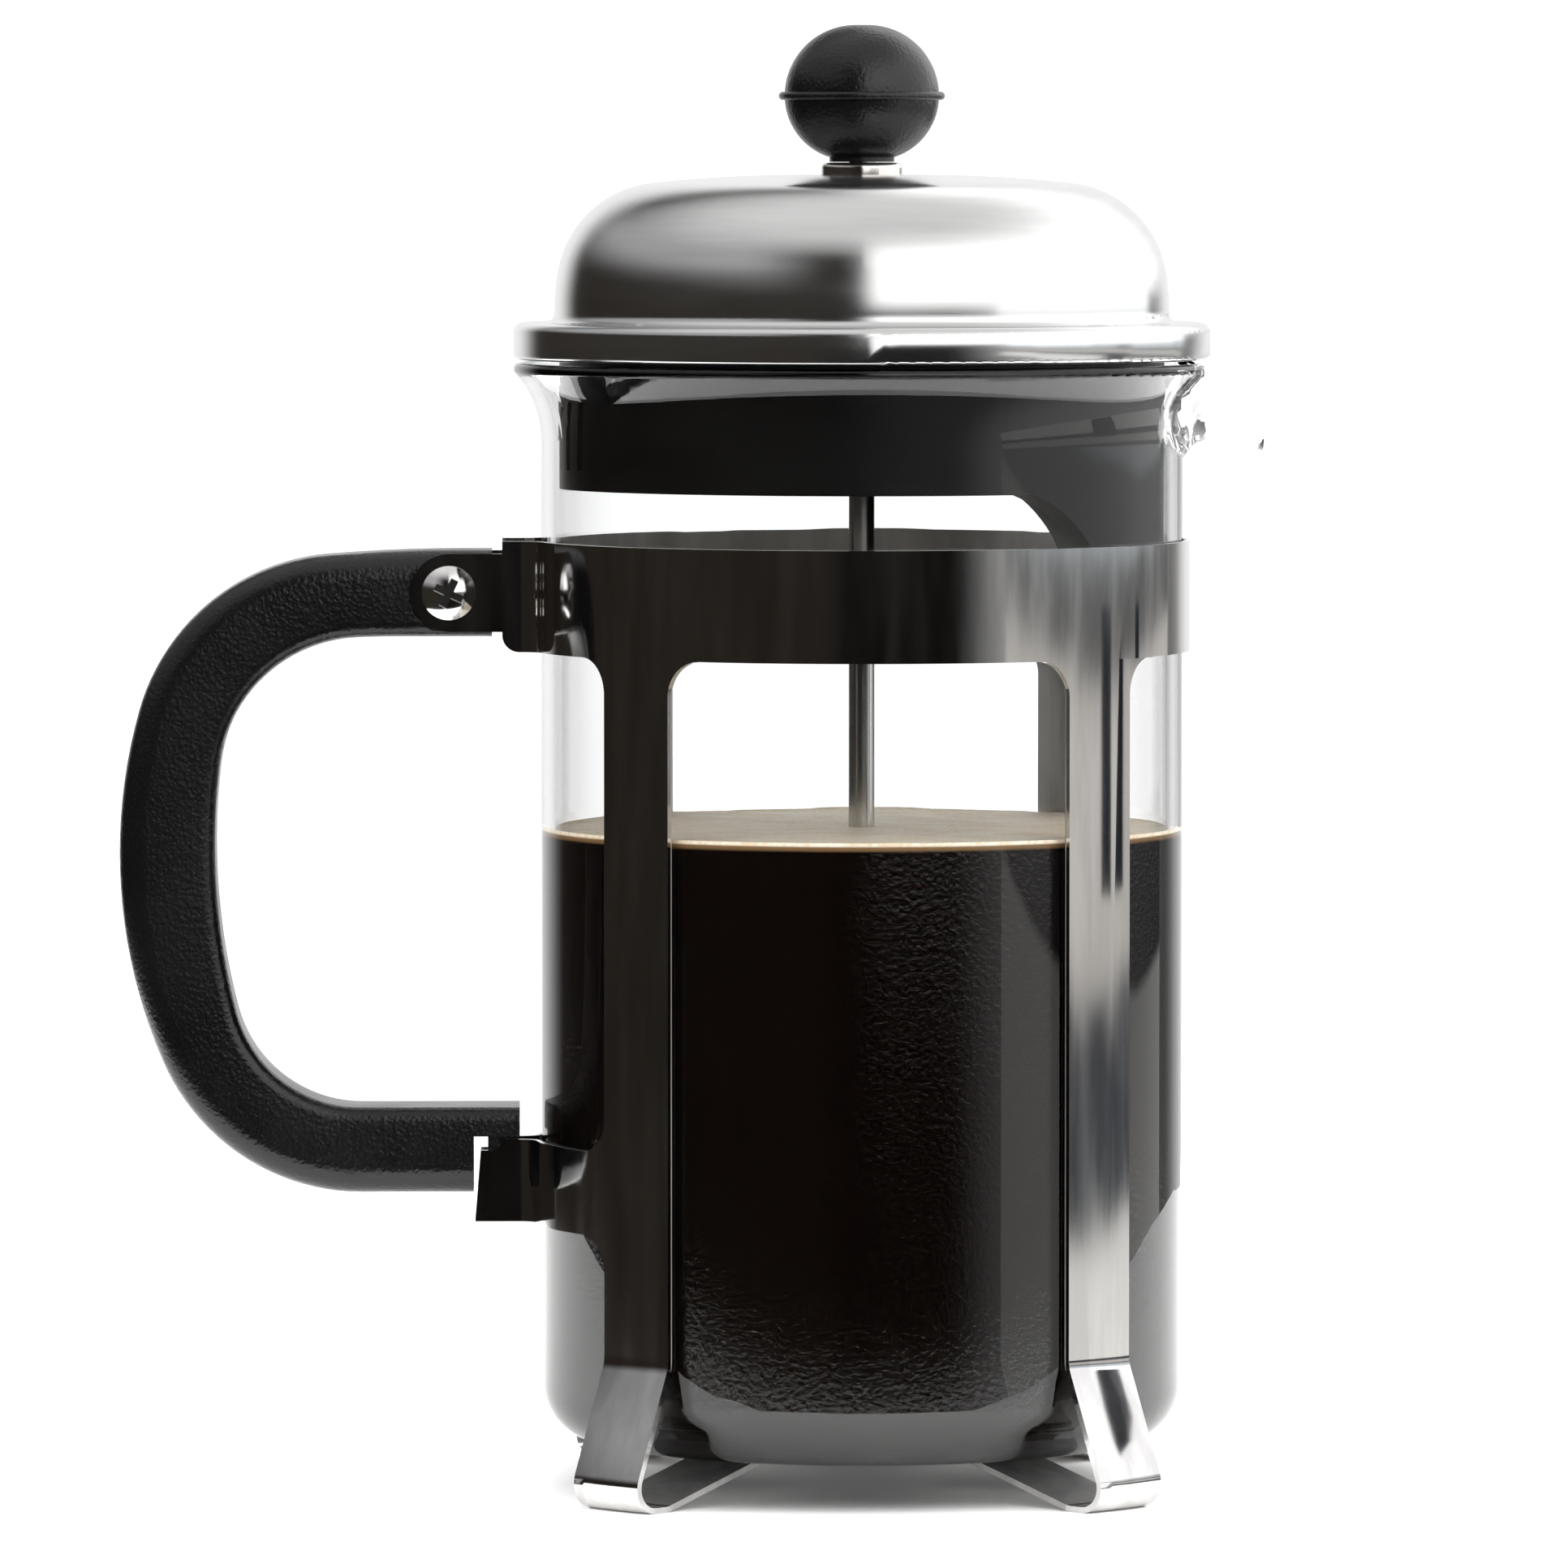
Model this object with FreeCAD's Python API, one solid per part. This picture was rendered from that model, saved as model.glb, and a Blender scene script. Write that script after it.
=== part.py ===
import FreeCAD, Part
import math
import os

# French press, eight cup.  Millimetres, +Z up.
# Origin: the beaker's axis at table level.  +X points to the spout, -X to the
# handle, -Y to the side that shows the handle screw's head.

# ---------------------------------------------------------------- glass beaker
GLASS_R = 49.4               # outer radius of the straight wall
GLASS_WALL = 2.0
GLASS_HEIGHT = 166.3         # underside to the top of the rim
GLASS_BASE_R = 9.0           # outside corner between the wall and the base
FLARE_R = 15.8               # outside radius of the flared lip
FLARE_ANGLE = 41.7           # how far the lip turns outward
SPOUT_REACH = 8.1            # beak, from the rim's edge to the tip
SPOUT_ROOT_BACK = 9.4        # the beak's first section, inside the wall's face
SPOUT_HALF_WIDTH = 27.0      # at that section
SPOUT_TIP_HALF_WIDTH = 5.4
SPOUT_TAPER = 1.1            # above 1 the sides draw in faster near the wall
SPOUT_DROP = 10.3            # rim down to the tip's edge
SPOUT_TIP_DEPTH = 3.4        # edge down to the underside at the tip
SPOUT_ROOT_DEPTH = 11.2      # rim down to the underside beside the wall
SPOUT_EDGE_POWER = 1.75      # how late the edge starts to fall
SPOUT_THROAT_DROP = 3.9      # extra depth where the beak leaves the wall
SPOUT_THROAT_FADE = 1.9      # how far out that extra depth fades
SPOUT_SECTIONS = 12
SPOUT_CUT_PAST_TIP = 3.0

# ------------------------------------------------------------------ steel frame
SHEET = 0.9
GLASS_TO_FRAME = 0.3
SEAT_Z = 7.0                 # top of the straps that the glass stands on
SEAT_GAP = 0.1
BAND_Z = 129.1               # lower edge of the band
BAND_HEIGHT = 17.0
LEG_WIDTH = 13.4
LEG_ANGLE = 45.5             # from the X axis
LEG_TO_BAND_R = 5.5
KINK_Z = 22.0                # where a leg starts to splay
KINK_R = 6.0
SPLAY_ANGLE = 21.0
FOOT_R = 4.0                 # outside of the fold at the floor
FOOT_FLAT = 2.8
FOOT_RISE_R = 6.0
STRAP_FLAT_R = 29.0          # inside this radius the straps lie level
HALF_GAP = 0.3               # between the two halves under the glass
LAP_ANGLE = 6.0
LAP_SEAM_ANGLE = 32.0        # where the front half ends, on the spout side
JOGGLE_ANGLE = 3.0

TAB_OUT = 18.9               # upper tabs, out from the band's face
TAB_HEIGHT = 12.0
TAB_RISE = 3.1               # band's lower edge to the tab's lower edge
TAB_BEND_R = 4.0
TAB_SHOULDER_OUT = 4.8
TAB_SHOULDER_R = 2.6         # rounds the shoulder's lower corner
TAB_ROOT_ANGLE = 156.0       # where the tab's bend joins the round band
EAR_Z = 41.0                 # lower ears, which hold the handle's tongue
EAR_HEIGHT = 12.7
EAR_OUT = 9.1
EAR_BEND_R = 3.0
EAR_LEG_R = 5.0
EAR_NOTCH = 1.7
EAR_LEAN = 0.9
EAR_ROOT = 1.0               # the ear's root inside the leg's edge

# ------------------------------------------------------ base plate and rivets
BASE_PLATE_R = 15.0
BASE_PLATE_T = 1.0
RIVET_CIRCLE_R = 10.6
RIVET_R = 1.5
RIVET_HEAD_R = 2.7
RIVET_HEAD_H = 0.9
RIVET_EDGE_R = 0.72

# ----------------------------------------------------------------------- handle
HANDLE_DEPTH = 16.0          # across, along Y
HANDLE_OUTER_EDGE_R = 4.2
HANDLE_INNER_EDGE_R = 2.2
HANDLE_START_OUT = 6.4       # gap between the band and the upper arm
OUTER_BEND_OUT = 10.6        # where the outer curve starts, out from the band
OUTER_ARCS = ((266.4, 4.5), (33.0, 69.8), (81.4, 38.8))     # radius, turn
INNER_BEND_OUT = 21.4
INNER_ARCS = ((116.0, 2.9), (22.2, 79.9), (101.0, 21.8))
HANDLE_TOP_ABOVE_TAB = 0.5
HANDLE_ARM = 13.3            # height of the upper arm
POCKET_DEPTH = 0.4           # for the tabs, in each side of the upper arm
POCKET_MARGIN = 0.4
TONGUE_T = 5.4
TONGUE_OUT = 2.4
TONGUE_WIDTH = 4.7
TONGUE_DROP = 12.4           # below the shelf of the lower arm
SHELF_Z = 54.5               # underside of the shelf over the tongue
SHELF_OUT = 2.2
SLIT_FROM_OUT = 9.3
LOWER_ARM_TOP = 58.9
LOWER_ARM_BOTTOM = 45.6

SCREW_R = 2.0
SCREW_HOLE_R = 2.15
SCREW_OUT = 13.0             # centre of the screw, out from the band
SCREW_HEAD_R = 4.15
SCREW_HEAD_H = 2.5
SCREW_CROWN_H = 1.7          # rise of the domed face of the head
CROSS_LENGTH = 4.6           # Phillips recess
CROSS_WIDTH = 1.2
CROSS_DEPTH = 1.5
CROSS_TURN = 25.0
NUT_FLATS = 7.0
NUT_H = 3.2
NUT_FACE_INSET = 0.2         # bevelled face, inside the flats
SCREW_PAST_NUT = 1.0

# -------------------------------------------------------------------------- lid
RIM_TO_LID = 0.5
LID_SHEET = 0.8
FLANGE_OVER_LIP = 0.0        # flange's edge past the glass's lip
FLANGE_HEIGHT = 5.6
FLANGE_CORNER_R = 1.4
HEM_WIDTH = 1.9
HEM_R = 0.9
DOME_SETBACK = 6.3           # flange's edge to the dome's wall
DOME_FOOT_R = 1.6            # hollow curve between the flange and the dome
DOME_FOOT = 2.1              # flange's top to the first curve of the dome
DOME_WALL_R = 32.6
DOME_WALL_TURN = 10.9
DOME_SHOULDER_R = 16.4
DOME_SHOULDER_TURN = 72.7
DOME_FLAT_R = 9.8            # level middle
BUSH_R = 6.3
BUSH_HEAD_H = 1.9
BUSH_EDGE_R = 0.85
BUSH_SHANK_R = 4.0
BUSH_SHANK_H = 5.6
LID_NUT_FLATS = 12.0
LID_NUT_H = 3.0

LINER_WALL = 1.7
GLASS_TO_LINER = 0.8
LINER_BELOW_RIM = 19.2       # bottom of the skirt, below the rim
LINER_TO_HEM = 0.3
LINER_RIM_T = 1.6
LINER_RIM_TO_FLANGE = 0.4
WEB_T = 1.6
WEB_HOLE_CLEARANCE = 0.4
GUARD_BELOW_SKIRT = 16.2     # tongue that closes the spout
GUARD_HALF_ANGLE = 40.0
GUARD_SHOULDER_ANGLE = 58.0
GUARD_BEND_UP = 0.6          # middle of the shoulder's curve, share of its height
GUARD_BEND_OUT = 0.38        # and share of its width
SLOT_COUNT = 9
SLOT_PITCH_ANGLE = 6.0
SLOT_WIDTH = 1.8
SLOT_HEIGHT = 11.0
SLOT_ABOVE_BOTTOM = 3.0

# ---------------------------------------------------------------------- plunger
ROD_R = 2.0
RUNNING_FIT = 0.05
KNOB_R = 11.9
KNOB_TOP_H = 10.9            # equator to crown
KNOB_LOW_H = 9.9             # equator to the lower pole, before the neck cuts it
KNOB_NECK_R = 5.0
KNOB_NECK_H = 0.7
KNOB_RIDGE = 0.9
KNOB_RIDGE_H = 1.3
KNOB_GAP = 0.1               # over the bush when fully pressed
INSERT_R = 3.5
INSERT_H = 11.0
INSERT_END_GAP = 0.4

FILTER_Z = 17.0              # underside of the cross plate
FILTER_TO_GLASS = 0.35
PLATE_T = 0.8
MESH_T = 0.5
MESH_RIM_H = 4.2
CROSS_PLATE_MARGIN = 2.6     # inside the mesh's rim
CROSS_HOLE_COUNT = 6
CROSS_HOLE_R = 8.0
CROSS_HOLE_CIRCLE_R = 26.5
SPRING_WIRE_R = 1.3
SPIRAL_HOLE_COUNTS = (10, 18, 26)
SPIRAL_HOLE_CIRCLES = (15.0, 25.0, 35.0)
SPIRAL_HOLE_R = 2.2
ROD_COLLAR_R = 5.0
ROD_COLLAR_H = 1.4
COLLAR_GAP = 0.05
HUB_R = 5.5
HUB_H = 5.0
ROD_END_UP = 0.5             # the rod's foot, above the hub's underside

# ------------------------------------------------------------- worked-out sizes
GLASS_Z = SEAT_Z + SEAT_GAP
GLASS_INNER_R = GLASS_R - GLASS_WALL
RIM_Z = GLASS_Z + GLASS_HEIGHT
FLARE_SIN = math.sin(math.radians(FLARE_ANGLE))
FLARE_COS = math.cos(math.radians(FLARE_ANGLE))
FLARE_Z = RIM_Z - GLASS_WALL / 2 - (FLARE_R + GLASS_WALL / 2) * FLARE_SIN
LIP_R = GLASS_R + FLARE_R - (FLARE_R + GLASS_WALL / 2) * FLARE_COS + GLASS_WALL / 2

BAND_IN = GLASS_R + GLASS_TO_FRAME
BAND_OUT = BAND_IN + SHEET
BAND_TOP = BAND_Z + BAND_HEIGHT
LEG_HALF_ANGLE = math.degrees(math.asin(LEG_WIDTH / 2 / BAND_OUT))
TAB_Z = BAND_Z + TAB_RISE
SCREW_Z = TAB_Z + TAB_HEIGHT / 2
POCKET_FLOOR = HANDLE_DEPTH / 2 - POCKET_DEPTH
TAB_FACE = POCKET_FLOOR + SHEET
UNDER_SEAT = SEAT_Z - SHEET
HANDLE_TOP = TAB_Z + TAB_HEIGHT + HANDLE_TOP_ABOVE_TAB

LID_Z = RIM_Z + RIM_TO_LID
FLANGE_R = LIP_R + FLANGE_OVER_LIP
DOME_R = FLANGE_R - DOME_SETBACK
FLANGE_TOP = LID_Z + FLANGE_HEIGHT
DOME_HEADINGS = [0.0, DOME_WALL_TURN, DOME_WALL_TURN + DOME_SHOULDER_TURN, 90.0]
DOME_SINES = [math.sin(math.radians(heading)) for heading in DOME_HEADINGS]
DOME_COSINES = [math.cos(math.radians(heading)) for heading in DOME_HEADINGS]
DOME_WALL_IN = DOME_WALL_R * (1 - DOME_COSINES[1])
DOME_SHOULDER_IN = DOME_SHOULDER_R * (DOME_COSINES[1] - DOME_COSINES[2])
DOME_CROWN_IN = DOME_R - DOME_WALL_IN - DOME_SHOULDER_IN - DOME_FLAT_R
DOME_RADII = [DOME_WALL_R, DOME_SHOULDER_R, DOME_CROWN_IN / DOME_COSINES[2]]
DOME_CURVES = list(zip(DOME_RADII, DOME_SINES, DOME_SINES[1:]))
DOME_RISE = sum(radius * (high - low) for radius, low, high in DOME_CURVES)
DOME_TOP = FLANGE_TOP + DOME_FOOT + DOME_RISE
BUSH_TOP = DOME_TOP + BUSH_HEAD_H
LINER_R = GLASS_INNER_R - GLASS_TO_LINER
SKIRT_Z = RIM_Z - LINER_BELOW_RIM
LINER_RIM_Z = LID_Z + LID_SHEET + LINER_TO_HEM
LINER_TOP = LINER_RIM_Z + LINER_RIM_T

KNOB_Z = BUSH_TOP + KNOB_GAP
NECK_DROP = math.sqrt(KNOB_LOW_H ** 2 - (KNOB_NECK_R - KNOB_R + KNOB_LOW_H) ** 2)
EQUATOR_Z = KNOB_Z + KNOB_NECK_H + NECK_DROP
ROD_TOP = KNOB_Z + INSERT_H - INSERT_END_GAP
BORE_R = ROD_R + RUNNING_FIT
MESH_R = GLASS_INNER_R - FILTER_TO_GLASS
MESH_Z = FILTER_Z + PLATE_T
SPIRAL_Z = MESH_Z + MESH_T
STACK_TOP = SPIRAL_Z + PLATE_T
SPRING_CIRCLE_R = MESH_R - MESH_T - SPRING_WIRE_R
SPIRAL_R = SPRING_CIRCLE_R
HUB_Z = FILTER_Z - HUB_H

FAR = 300.0                  # longer than anything in the model
BIT = 0.5                    # how far a cutting tool runs past a face
CLOSE = 0.01                 # two lengths that count as the same


# ------------------------------------------------------------------ small tools
def xyz(x, y, z):
    return FreeCAD.Vector(x, y, z)


def polar(radius, degrees, z=0.0):
    """A point at a radius and a direction, measured from +X."""
    turn = math.radians(degrees)
    return xyz(radius * math.cos(turn), radius * math.sin(turn), z)


def upright(degrees):
    """A unit step in the XZ plane, measured from +X toward +Z."""
    turn = math.radians(degrees)
    return xyz(math.cos(turn), 0, math.sin(turn))


def line(a, b):
    return Part.LineSegment(a, b).toShape()


def arc(a, middle, b):
    return Part.Arc(a, middle, b).toShape()


def smooth(points, start, end):
    """A curve through points that leaves along start and arrives along end."""
    curve = Part.BSplineCurve()
    curve.interpolate(Points=points, InitialTangent=start, FinalTangent=end)
    return curve.toShape()


def face_of(edges):
    return Part.Face(Part.Wire(edges))


def polygon(points):
    return Part.Face(Part.makePolygon(points + [points[0]]))


def turned(face, degrees=360.0):
    """Spin a face that lies in the XZ plane about the Z axis."""
    return face.revolve(xyz(0, 0, 0), xyz(0, 0, 1), degrees)


def disc(radius, z, height):
    return Part.makeCylinder(radius, height, xyz(0, 0, z))


def ring(inner, outer, z, height):
    return disc(outer, z, height).cut(disc(inner, z - BIT, height + 2 * BIT))


def sector(start, end, z, height):
    """A wedge about the Z axis between two directions less than 180 apart."""
    middle = (start + end) / 2
    reach = FAR / math.cos(math.radians((end - start) / 4))
    points = [xyz(0, 0, z), polar(FAR, start, z), polar(reach, middle, z), polar(FAR, end, z)]
    return polygon(points).extrude(xyz(0, 0, height))


def along_y(radius, x, z, start, length):
    return Part.makeCylinder(radius, length, xyz(x, start, z), xyz(0, 1, 0))


def hexagon(flats, z, height):
    points = [polar(flats / 2 / math.cos(math.pi / 6), 60 * side, z) for side in range(6)]
    return polygon(points).extrude(xyz(0, 0, height))


def rounded_path(points, radii):
    """Edges along points, with an arc at each inner corner that has a radius."""
    edges = []
    start = points[0]
    for corner, after, radius in zip(points[1:], points[2:], radii):
        incoming = (corner - start).normalize()
        outgoing = (after - corner).normalize()
        turn = incoming.getAngle(outgoing)
        back = radius * math.tan(turn / 2)
        first = corner - incoming * back
        last = corner + outgoing * back
        inward = (outgoing - incoming).normalize()
        middle = corner + inward * radius * (1 / math.cos(turn / 2) - 1)
        edges.append(line(start, first))
        edges.append(arc(first, middle, last))
        start = last
    edges.append(line(start, points[-1]))
    return edges


def thickened(edges, amount):
    """A face between a path and the same path moved sideways."""
    return Part.Wire(edges).makeOffset2D(amount, 0, True, True)


def mirrored(shape):
    return shape.mirror(xyz(0, 0, 0), xyz(0, 1, 0))


def outline(edges):
    """A flat face from edges given in any order."""
    return Part.Face(Part.Wire(Part.__sortEdges__(edges)))


def rim_edges(body, z):
    """The edges of a round body that lie level at a height."""
    return [edge for edge in body.Edges
            if abs(edge.BoundBox.ZMin - z) < CLOSE and abs(edge.BoundBox.ZMax - z) < CLOSE]


def solid(shape):
    """The one solid of a shape, without seams between its flush faces."""
    clean = shape.removeSplitter()
    return clean.Solids[0] if len(clean.Solids) == 1 else clean


# ----------------------------------------------------------------- glass beaker
def wall_profile(offset):
    """Half outline of the beaker, moved inward by offset, open at the axis."""
    radius = GLASS_R - offset
    corner = GLASS_BASE_R - offset
    flare = FLARE_R + offset
    low = GLASS_Z + offset
    centre_r = GLASS_R + FLARE_R
    bend = math.radians(FLARE_ANGLE)
    base_mid = xyz(radius - corner + corner * math.sin(math.pi / 4), 0,
                   low + corner - corner * math.cos(math.pi / 4))
    flare_mid = xyz(centre_r - flare * math.cos(bend / 2), 0, FLARE_Z + flare * math.sin(bend / 2))
    lip = xyz(centre_r - flare * math.cos(bend), 0, FLARE_Z + flare * math.sin(bend))
    foot = xyz(radius - corner, 0, low)
    wall_low = xyz(radius, 0, low + corner)
    wall_high = xyz(radius, 0, FLARE_Z)
    edges = [
        line(xyz(0, 0, low), foot),
        arc(foot, base_mid, wall_low),
        line(wall_low, wall_high),
        arc(wall_high, flare_mid, lip),
    ]
    return edges, lip


def spout_body(inset, past_tip):
    """The beak as a loft of ellipses, shrunk by inset on every side."""
    root_x = GLASS_R - SPOUT_ROOT_BACK
    tip_x = LIP_R + SPOUT_REACH
    wires = []
    for section in range(SPOUT_SECTIONS + 1):
        share = section / SPOUT_SECTIONS
        x = root_x + (tip_x - root_x) * share
        spread = (SPOUT_HALF_WIDTH - SPOUT_TIP_HALF_WIDTH) * (1 - share) ** SPOUT_TAPER
        half_width = SPOUT_TIP_HALF_WIDTH + spread
        edge_z = spout_edge_z(x)
        depth = edge_z - spout_under_z(x)
        wires.append(ellipse_wire(x, edge_z, half_width - inset, depth - inset))
    if past_tip:
        wires.append(ellipse_wire(tip_x + past_tip, edge_z, half_width - inset, depth - inset))
    return Part.makeLoft(wires, True, False)


def spout_share(x):
    """How far out a point is on the beak: 0 at the wall's face, 1 at the tip."""
    return max(0.0, (x - GLASS_R) / (LIP_R + SPOUT_REACH - GLASS_R))


def spout_edge_z(x):
    """Height of the beak's edge: level at the rim, steep at the tip."""
    return RIM_Z - SPOUT_DROP * spout_share(x) ** SPOUT_EDGE_POWER


def spout_under_z(x):
    """Height of the beak's underside, which rises from the wall, then falls."""
    tip_z = RIM_Z - SPOUT_DROP - SPOUT_TIP_DEPTH
    root_z = RIM_Z - SPOUT_ROOT_DEPTH
    throat = SPOUT_THROAT_DROP * math.exp(-max(0.0, x - GLASS_R) / SPOUT_THROAT_FADE)
    return tip_z + (root_z - tip_z) * (1 - spout_share(x) ** 2) - throat


def ellipse_wire(x, z, half_width, depth):
    """A closed ellipse across the beak, centred on its edge."""
    centre = xyz(x, 0, z)
    if half_width > depth:
        curve = Part.Ellipse(xyz(x, half_width, z), xyz(x, 0, z - depth), centre)
    else:
        curve = Part.Ellipse(xyz(x, 0, z - depth), xyz(x, half_width, z), centre)
    return Part.Wire(curve.toShape())


def above_spout_edge():
    """Everything above the curve along which the beak's edge falls."""
    step = (LIP_R + SPOUT_REACH - GLASS_R) / SPOUT_SECTIONS
    xs = [GLASS_R + step * section for section in range(SPOUT_SECTIONS + 1)]
    points = [xyz(x, -FAR / 4, spout_edge_z(x)) for x in xs]
    edge = smooth(points, xyz(1, 0, 0), points[-1] - points[-2])
    high_z = RIM_Z + FAR / 4
    end = points[-1] + (points[-1] - points[-2]) * 2
    path = [end, xyz(end.x + FAR, end.y, end.z), xyz(end.x + FAR, end.y, high_z),
            xyz(0, end.y, high_z), xyz(0, end.y, RIM_Z), points[0]]
    sides = [line(a, b) for a, b in zip(path, path[1:])]
    return face_of([edge, line(points[-1], end)] + sides).extrude(xyz(0, FAR / 2, 0))


def glass_beaker():
    outer_edges, outer_lip = wall_profile(0.0)
    inner_edges, inner_lip = wall_profile(GLASS_WALL)
    bulge = (outer_lip + inner_lip) * 0.5 + xyz(FLARE_SIN, 0, FLARE_COS) * (GLASS_WALL / 2)
    rim = arc(outer_lip, bulge, inner_lip)
    axis = line(xyz(0, 0, GLASS_Z + GLASS_WALL), xyz(0, 0, GLASS_Z))
    wall = turned(face_of(outer_edges + [rim] + inner_edges[::-1] + [axis]))
    top = xyz(inner_lip.x, 0, RIM_Z + FAR)
    hollow_edges = inner_edges + [line(inner_lip, top), line(top, xyz(0, 0, top.z))]
    hollow_edges.append(line(xyz(0, 0, top.z), xyz(0, 0, GLASS_Z + GLASS_WALL)))
    hollow = turned(face_of(hollow_edges))
    beak = spout_body(0.0, 0.0).cut(hollow).cut(above_spout_edge())
    channel = spout_body(GLASS_WALL, SPOUT_CUT_PAST_TIP)
    return solid(wall.fuse(beak).cut(channel))


# ------------------------------------------------------------------ steel frame
def leg_profile():
    """Section of a leg, from inside the band to the middle of the base."""
    slope = math.tan(math.radians(SPLAY_ANGLE))
    toe = BAND_OUT + KINK_Z * slope
    toe_back = FOOT_R * math.tan(math.radians(90 + SPLAY_ANGLE) / 2)
    heel = toe - toe_back - FOOT_FLAT
    points = [
        xyz(BAND_OUT, 0, BAND_Z + BIT),
        xyz(BAND_OUT, 0, KINK_Z),
        xyz(toe, 0, 0),
        xyz(heel, 0, 0),
        xyz(STRAP_FLAT_R, 0, UNDER_SEAT),
        xyz(0, 0, UNDER_SEAT),
    ]
    radii = [KINK_R, FOOT_R, FOOT_RISE_R, FOOT_RISE_R]
    return thickened(rounded_path(points, radii), -SHEET)


def leg_outline():
    """Front view of a leg: straight sides that curve out into the band."""
    half = LEG_WIDTH / 2
    fillet = LEG_TO_BAND_R
    slant = fillet * (1 - math.sqrt(0.5))
    foot_z = -BIT
    right = [
        line(xyz(0, half, foot_z), xyz(0, half, BAND_Z - fillet)),
        arc(xyz(0, half, BAND_Z - fillet), xyz(0, half + slant, BAND_Z - slant),
            xyz(0, half + fillet, BAND_Z)),
        line(xyz(0, half + fillet, BAND_Z), xyz(0, half + fillet, BAND_Z + BIT)),
    ]
    left = [mirrored(edge) for edge in right]
    bottom = line(xyz(0, -half, foot_z), xyz(0, half, foot_z))
    top = line(xyz(0, half + fillet, BAND_Z + BIT), xyz(0, -half - fillet, BAND_Z + BIT))
    return outline(right + left + [bottom, top])


def leg(profile_body, direction):
    prism = leg_outline().extrude(xyz(FAR, 0, 0))
    prism.rotate(xyz(0, 0, 0), xyz(0, 0, 1), direction)
    return profile_body.common(prism)


def bent_sheet(start_angle, flat_y, bend_r, end_x):
    """Plan of a sheet that follows the glass, then bends away along -X.

    It starts at start_angle, keeps to the -Y side, and its flat part's outer
    face stands at flat_y.
    """
    middle_r = BAND_IN + SHEET / 2
    reach = middle_r + bend_r
    centre_y = flat_y + SHEET / 2 - bend_r
    centre_x = -math.sqrt(reach ** 2 - centre_y ** 2)
    centre = xyz(centre_x, centre_y, 0)
    touch_angle = math.degrees(math.atan2(centre_y, centre_x))
    inward = (centre * -1).normalize()
    half_way = (inward + xyz(0, 1, 0)).normalize()
    edges = []
    for radius, bend in ((BAND_IN, bend_r + SHEET / 2), (BAND_OUT, bend_r - SHEET / 2)):
        start = polar(radius, start_angle)
        middle = polar(radius, (start_angle + touch_angle) / 2)
        touch = polar(radius, touch_angle)
        flat = centre + xyz(0, bend, 0)
        edges.append(arc(start, middle, touch))
        edges.append(arc(touch, centre + half_way * bend, flat))
        edges.append(line(flat, xyz(end_x, flat.y, 0)))
    edges.append(line(polar(BAND_IN, start_angle), polar(BAND_OUT, start_angle)))
    edges.append(line(xyz(end_x, flat_y, 0), xyz(end_x, flat_y + SHEET, 0)))
    return outline(edges)


def tab_outline():
    """Side view of the band's end: full height, then a round-ended tab."""
    end_r = TAB_HEIGHT / 2
    shoulder_x = -BAND_OUT - TAB_SHOULDER_OUT
    centre_x = -BAND_OUT - TAB_OUT + end_r
    tab_top = TAB_Z + TAB_HEIGHT
    corner = xyz(shoulder_x + TAB_SHOULDER_R, 0, BAND_Z + TAB_SHOULDER_R)
    diagonal = TAB_SHOULDER_R * math.sqrt(0.5)
    corner_low = xyz(corner.x, 0, BAND_Z)
    corner_high = xyz(shoulder_x, 0, corner.z)
    edges = [
        line(xyz(0, 0, BAND_Z), corner_low),
        arc(corner_low, corner - xyz(diagonal, 0, diagonal), corner_high),
        line(corner_high, xyz(shoulder_x, 0, TAB_Z)),
        line(xyz(shoulder_x, 0, TAB_Z), xyz(centre_x, 0, TAB_Z)),
        arc(xyz(centre_x, 0, TAB_Z), xyz(centre_x - end_r, 0, SCREW_Z), xyz(centre_x, 0, tab_top)),
        line(xyz(centre_x, 0, tab_top), xyz(shoulder_x, 0, tab_top)),
        line(xyz(shoulder_x, 0, tab_top), xyz(shoulder_x, 0, BAND_TOP)),
        line(xyz(shoulder_x, 0, BAND_TOP), xyz(0, 0, BAND_TOP)),
        line(xyz(0, 0, BAND_TOP), xyz(0, 0, BAND_Z)),
    ]
    return face_of(edges)


def band(end_angle):
    """The band of the half on the -Y side, from its tab round to end_angle."""
    turn = ring(BAND_IN, BAND_OUT, BAND_Z, BAND_HEIGHT)
    front = turn.common(sector(-TAB_ROOT_ANGLE, -90.0, BAND_Z, BAND_HEIGHT))
    side = turn.common(sector(-90.0, end_angle, BAND_Z, BAND_HEIGHT))
    plan = bent_sheet(-TAB_ROOT_ANGLE, -TAB_FACE, TAB_BEND_R, -BAND_OUT - TAB_OUT - BIT)
    tab = plan.extrude(xyz(0, 0, FAR)).common(tab_outline().extrude(xyz(0, -FAR, 0)))
    hole = along_y(SCREW_HOLE_R, -BAND_OUT - SCREW_OUT, SCREW_Z, -FAR / 2, FAR)
    return front.fuse([side, tab.cut(hole)])


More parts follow.
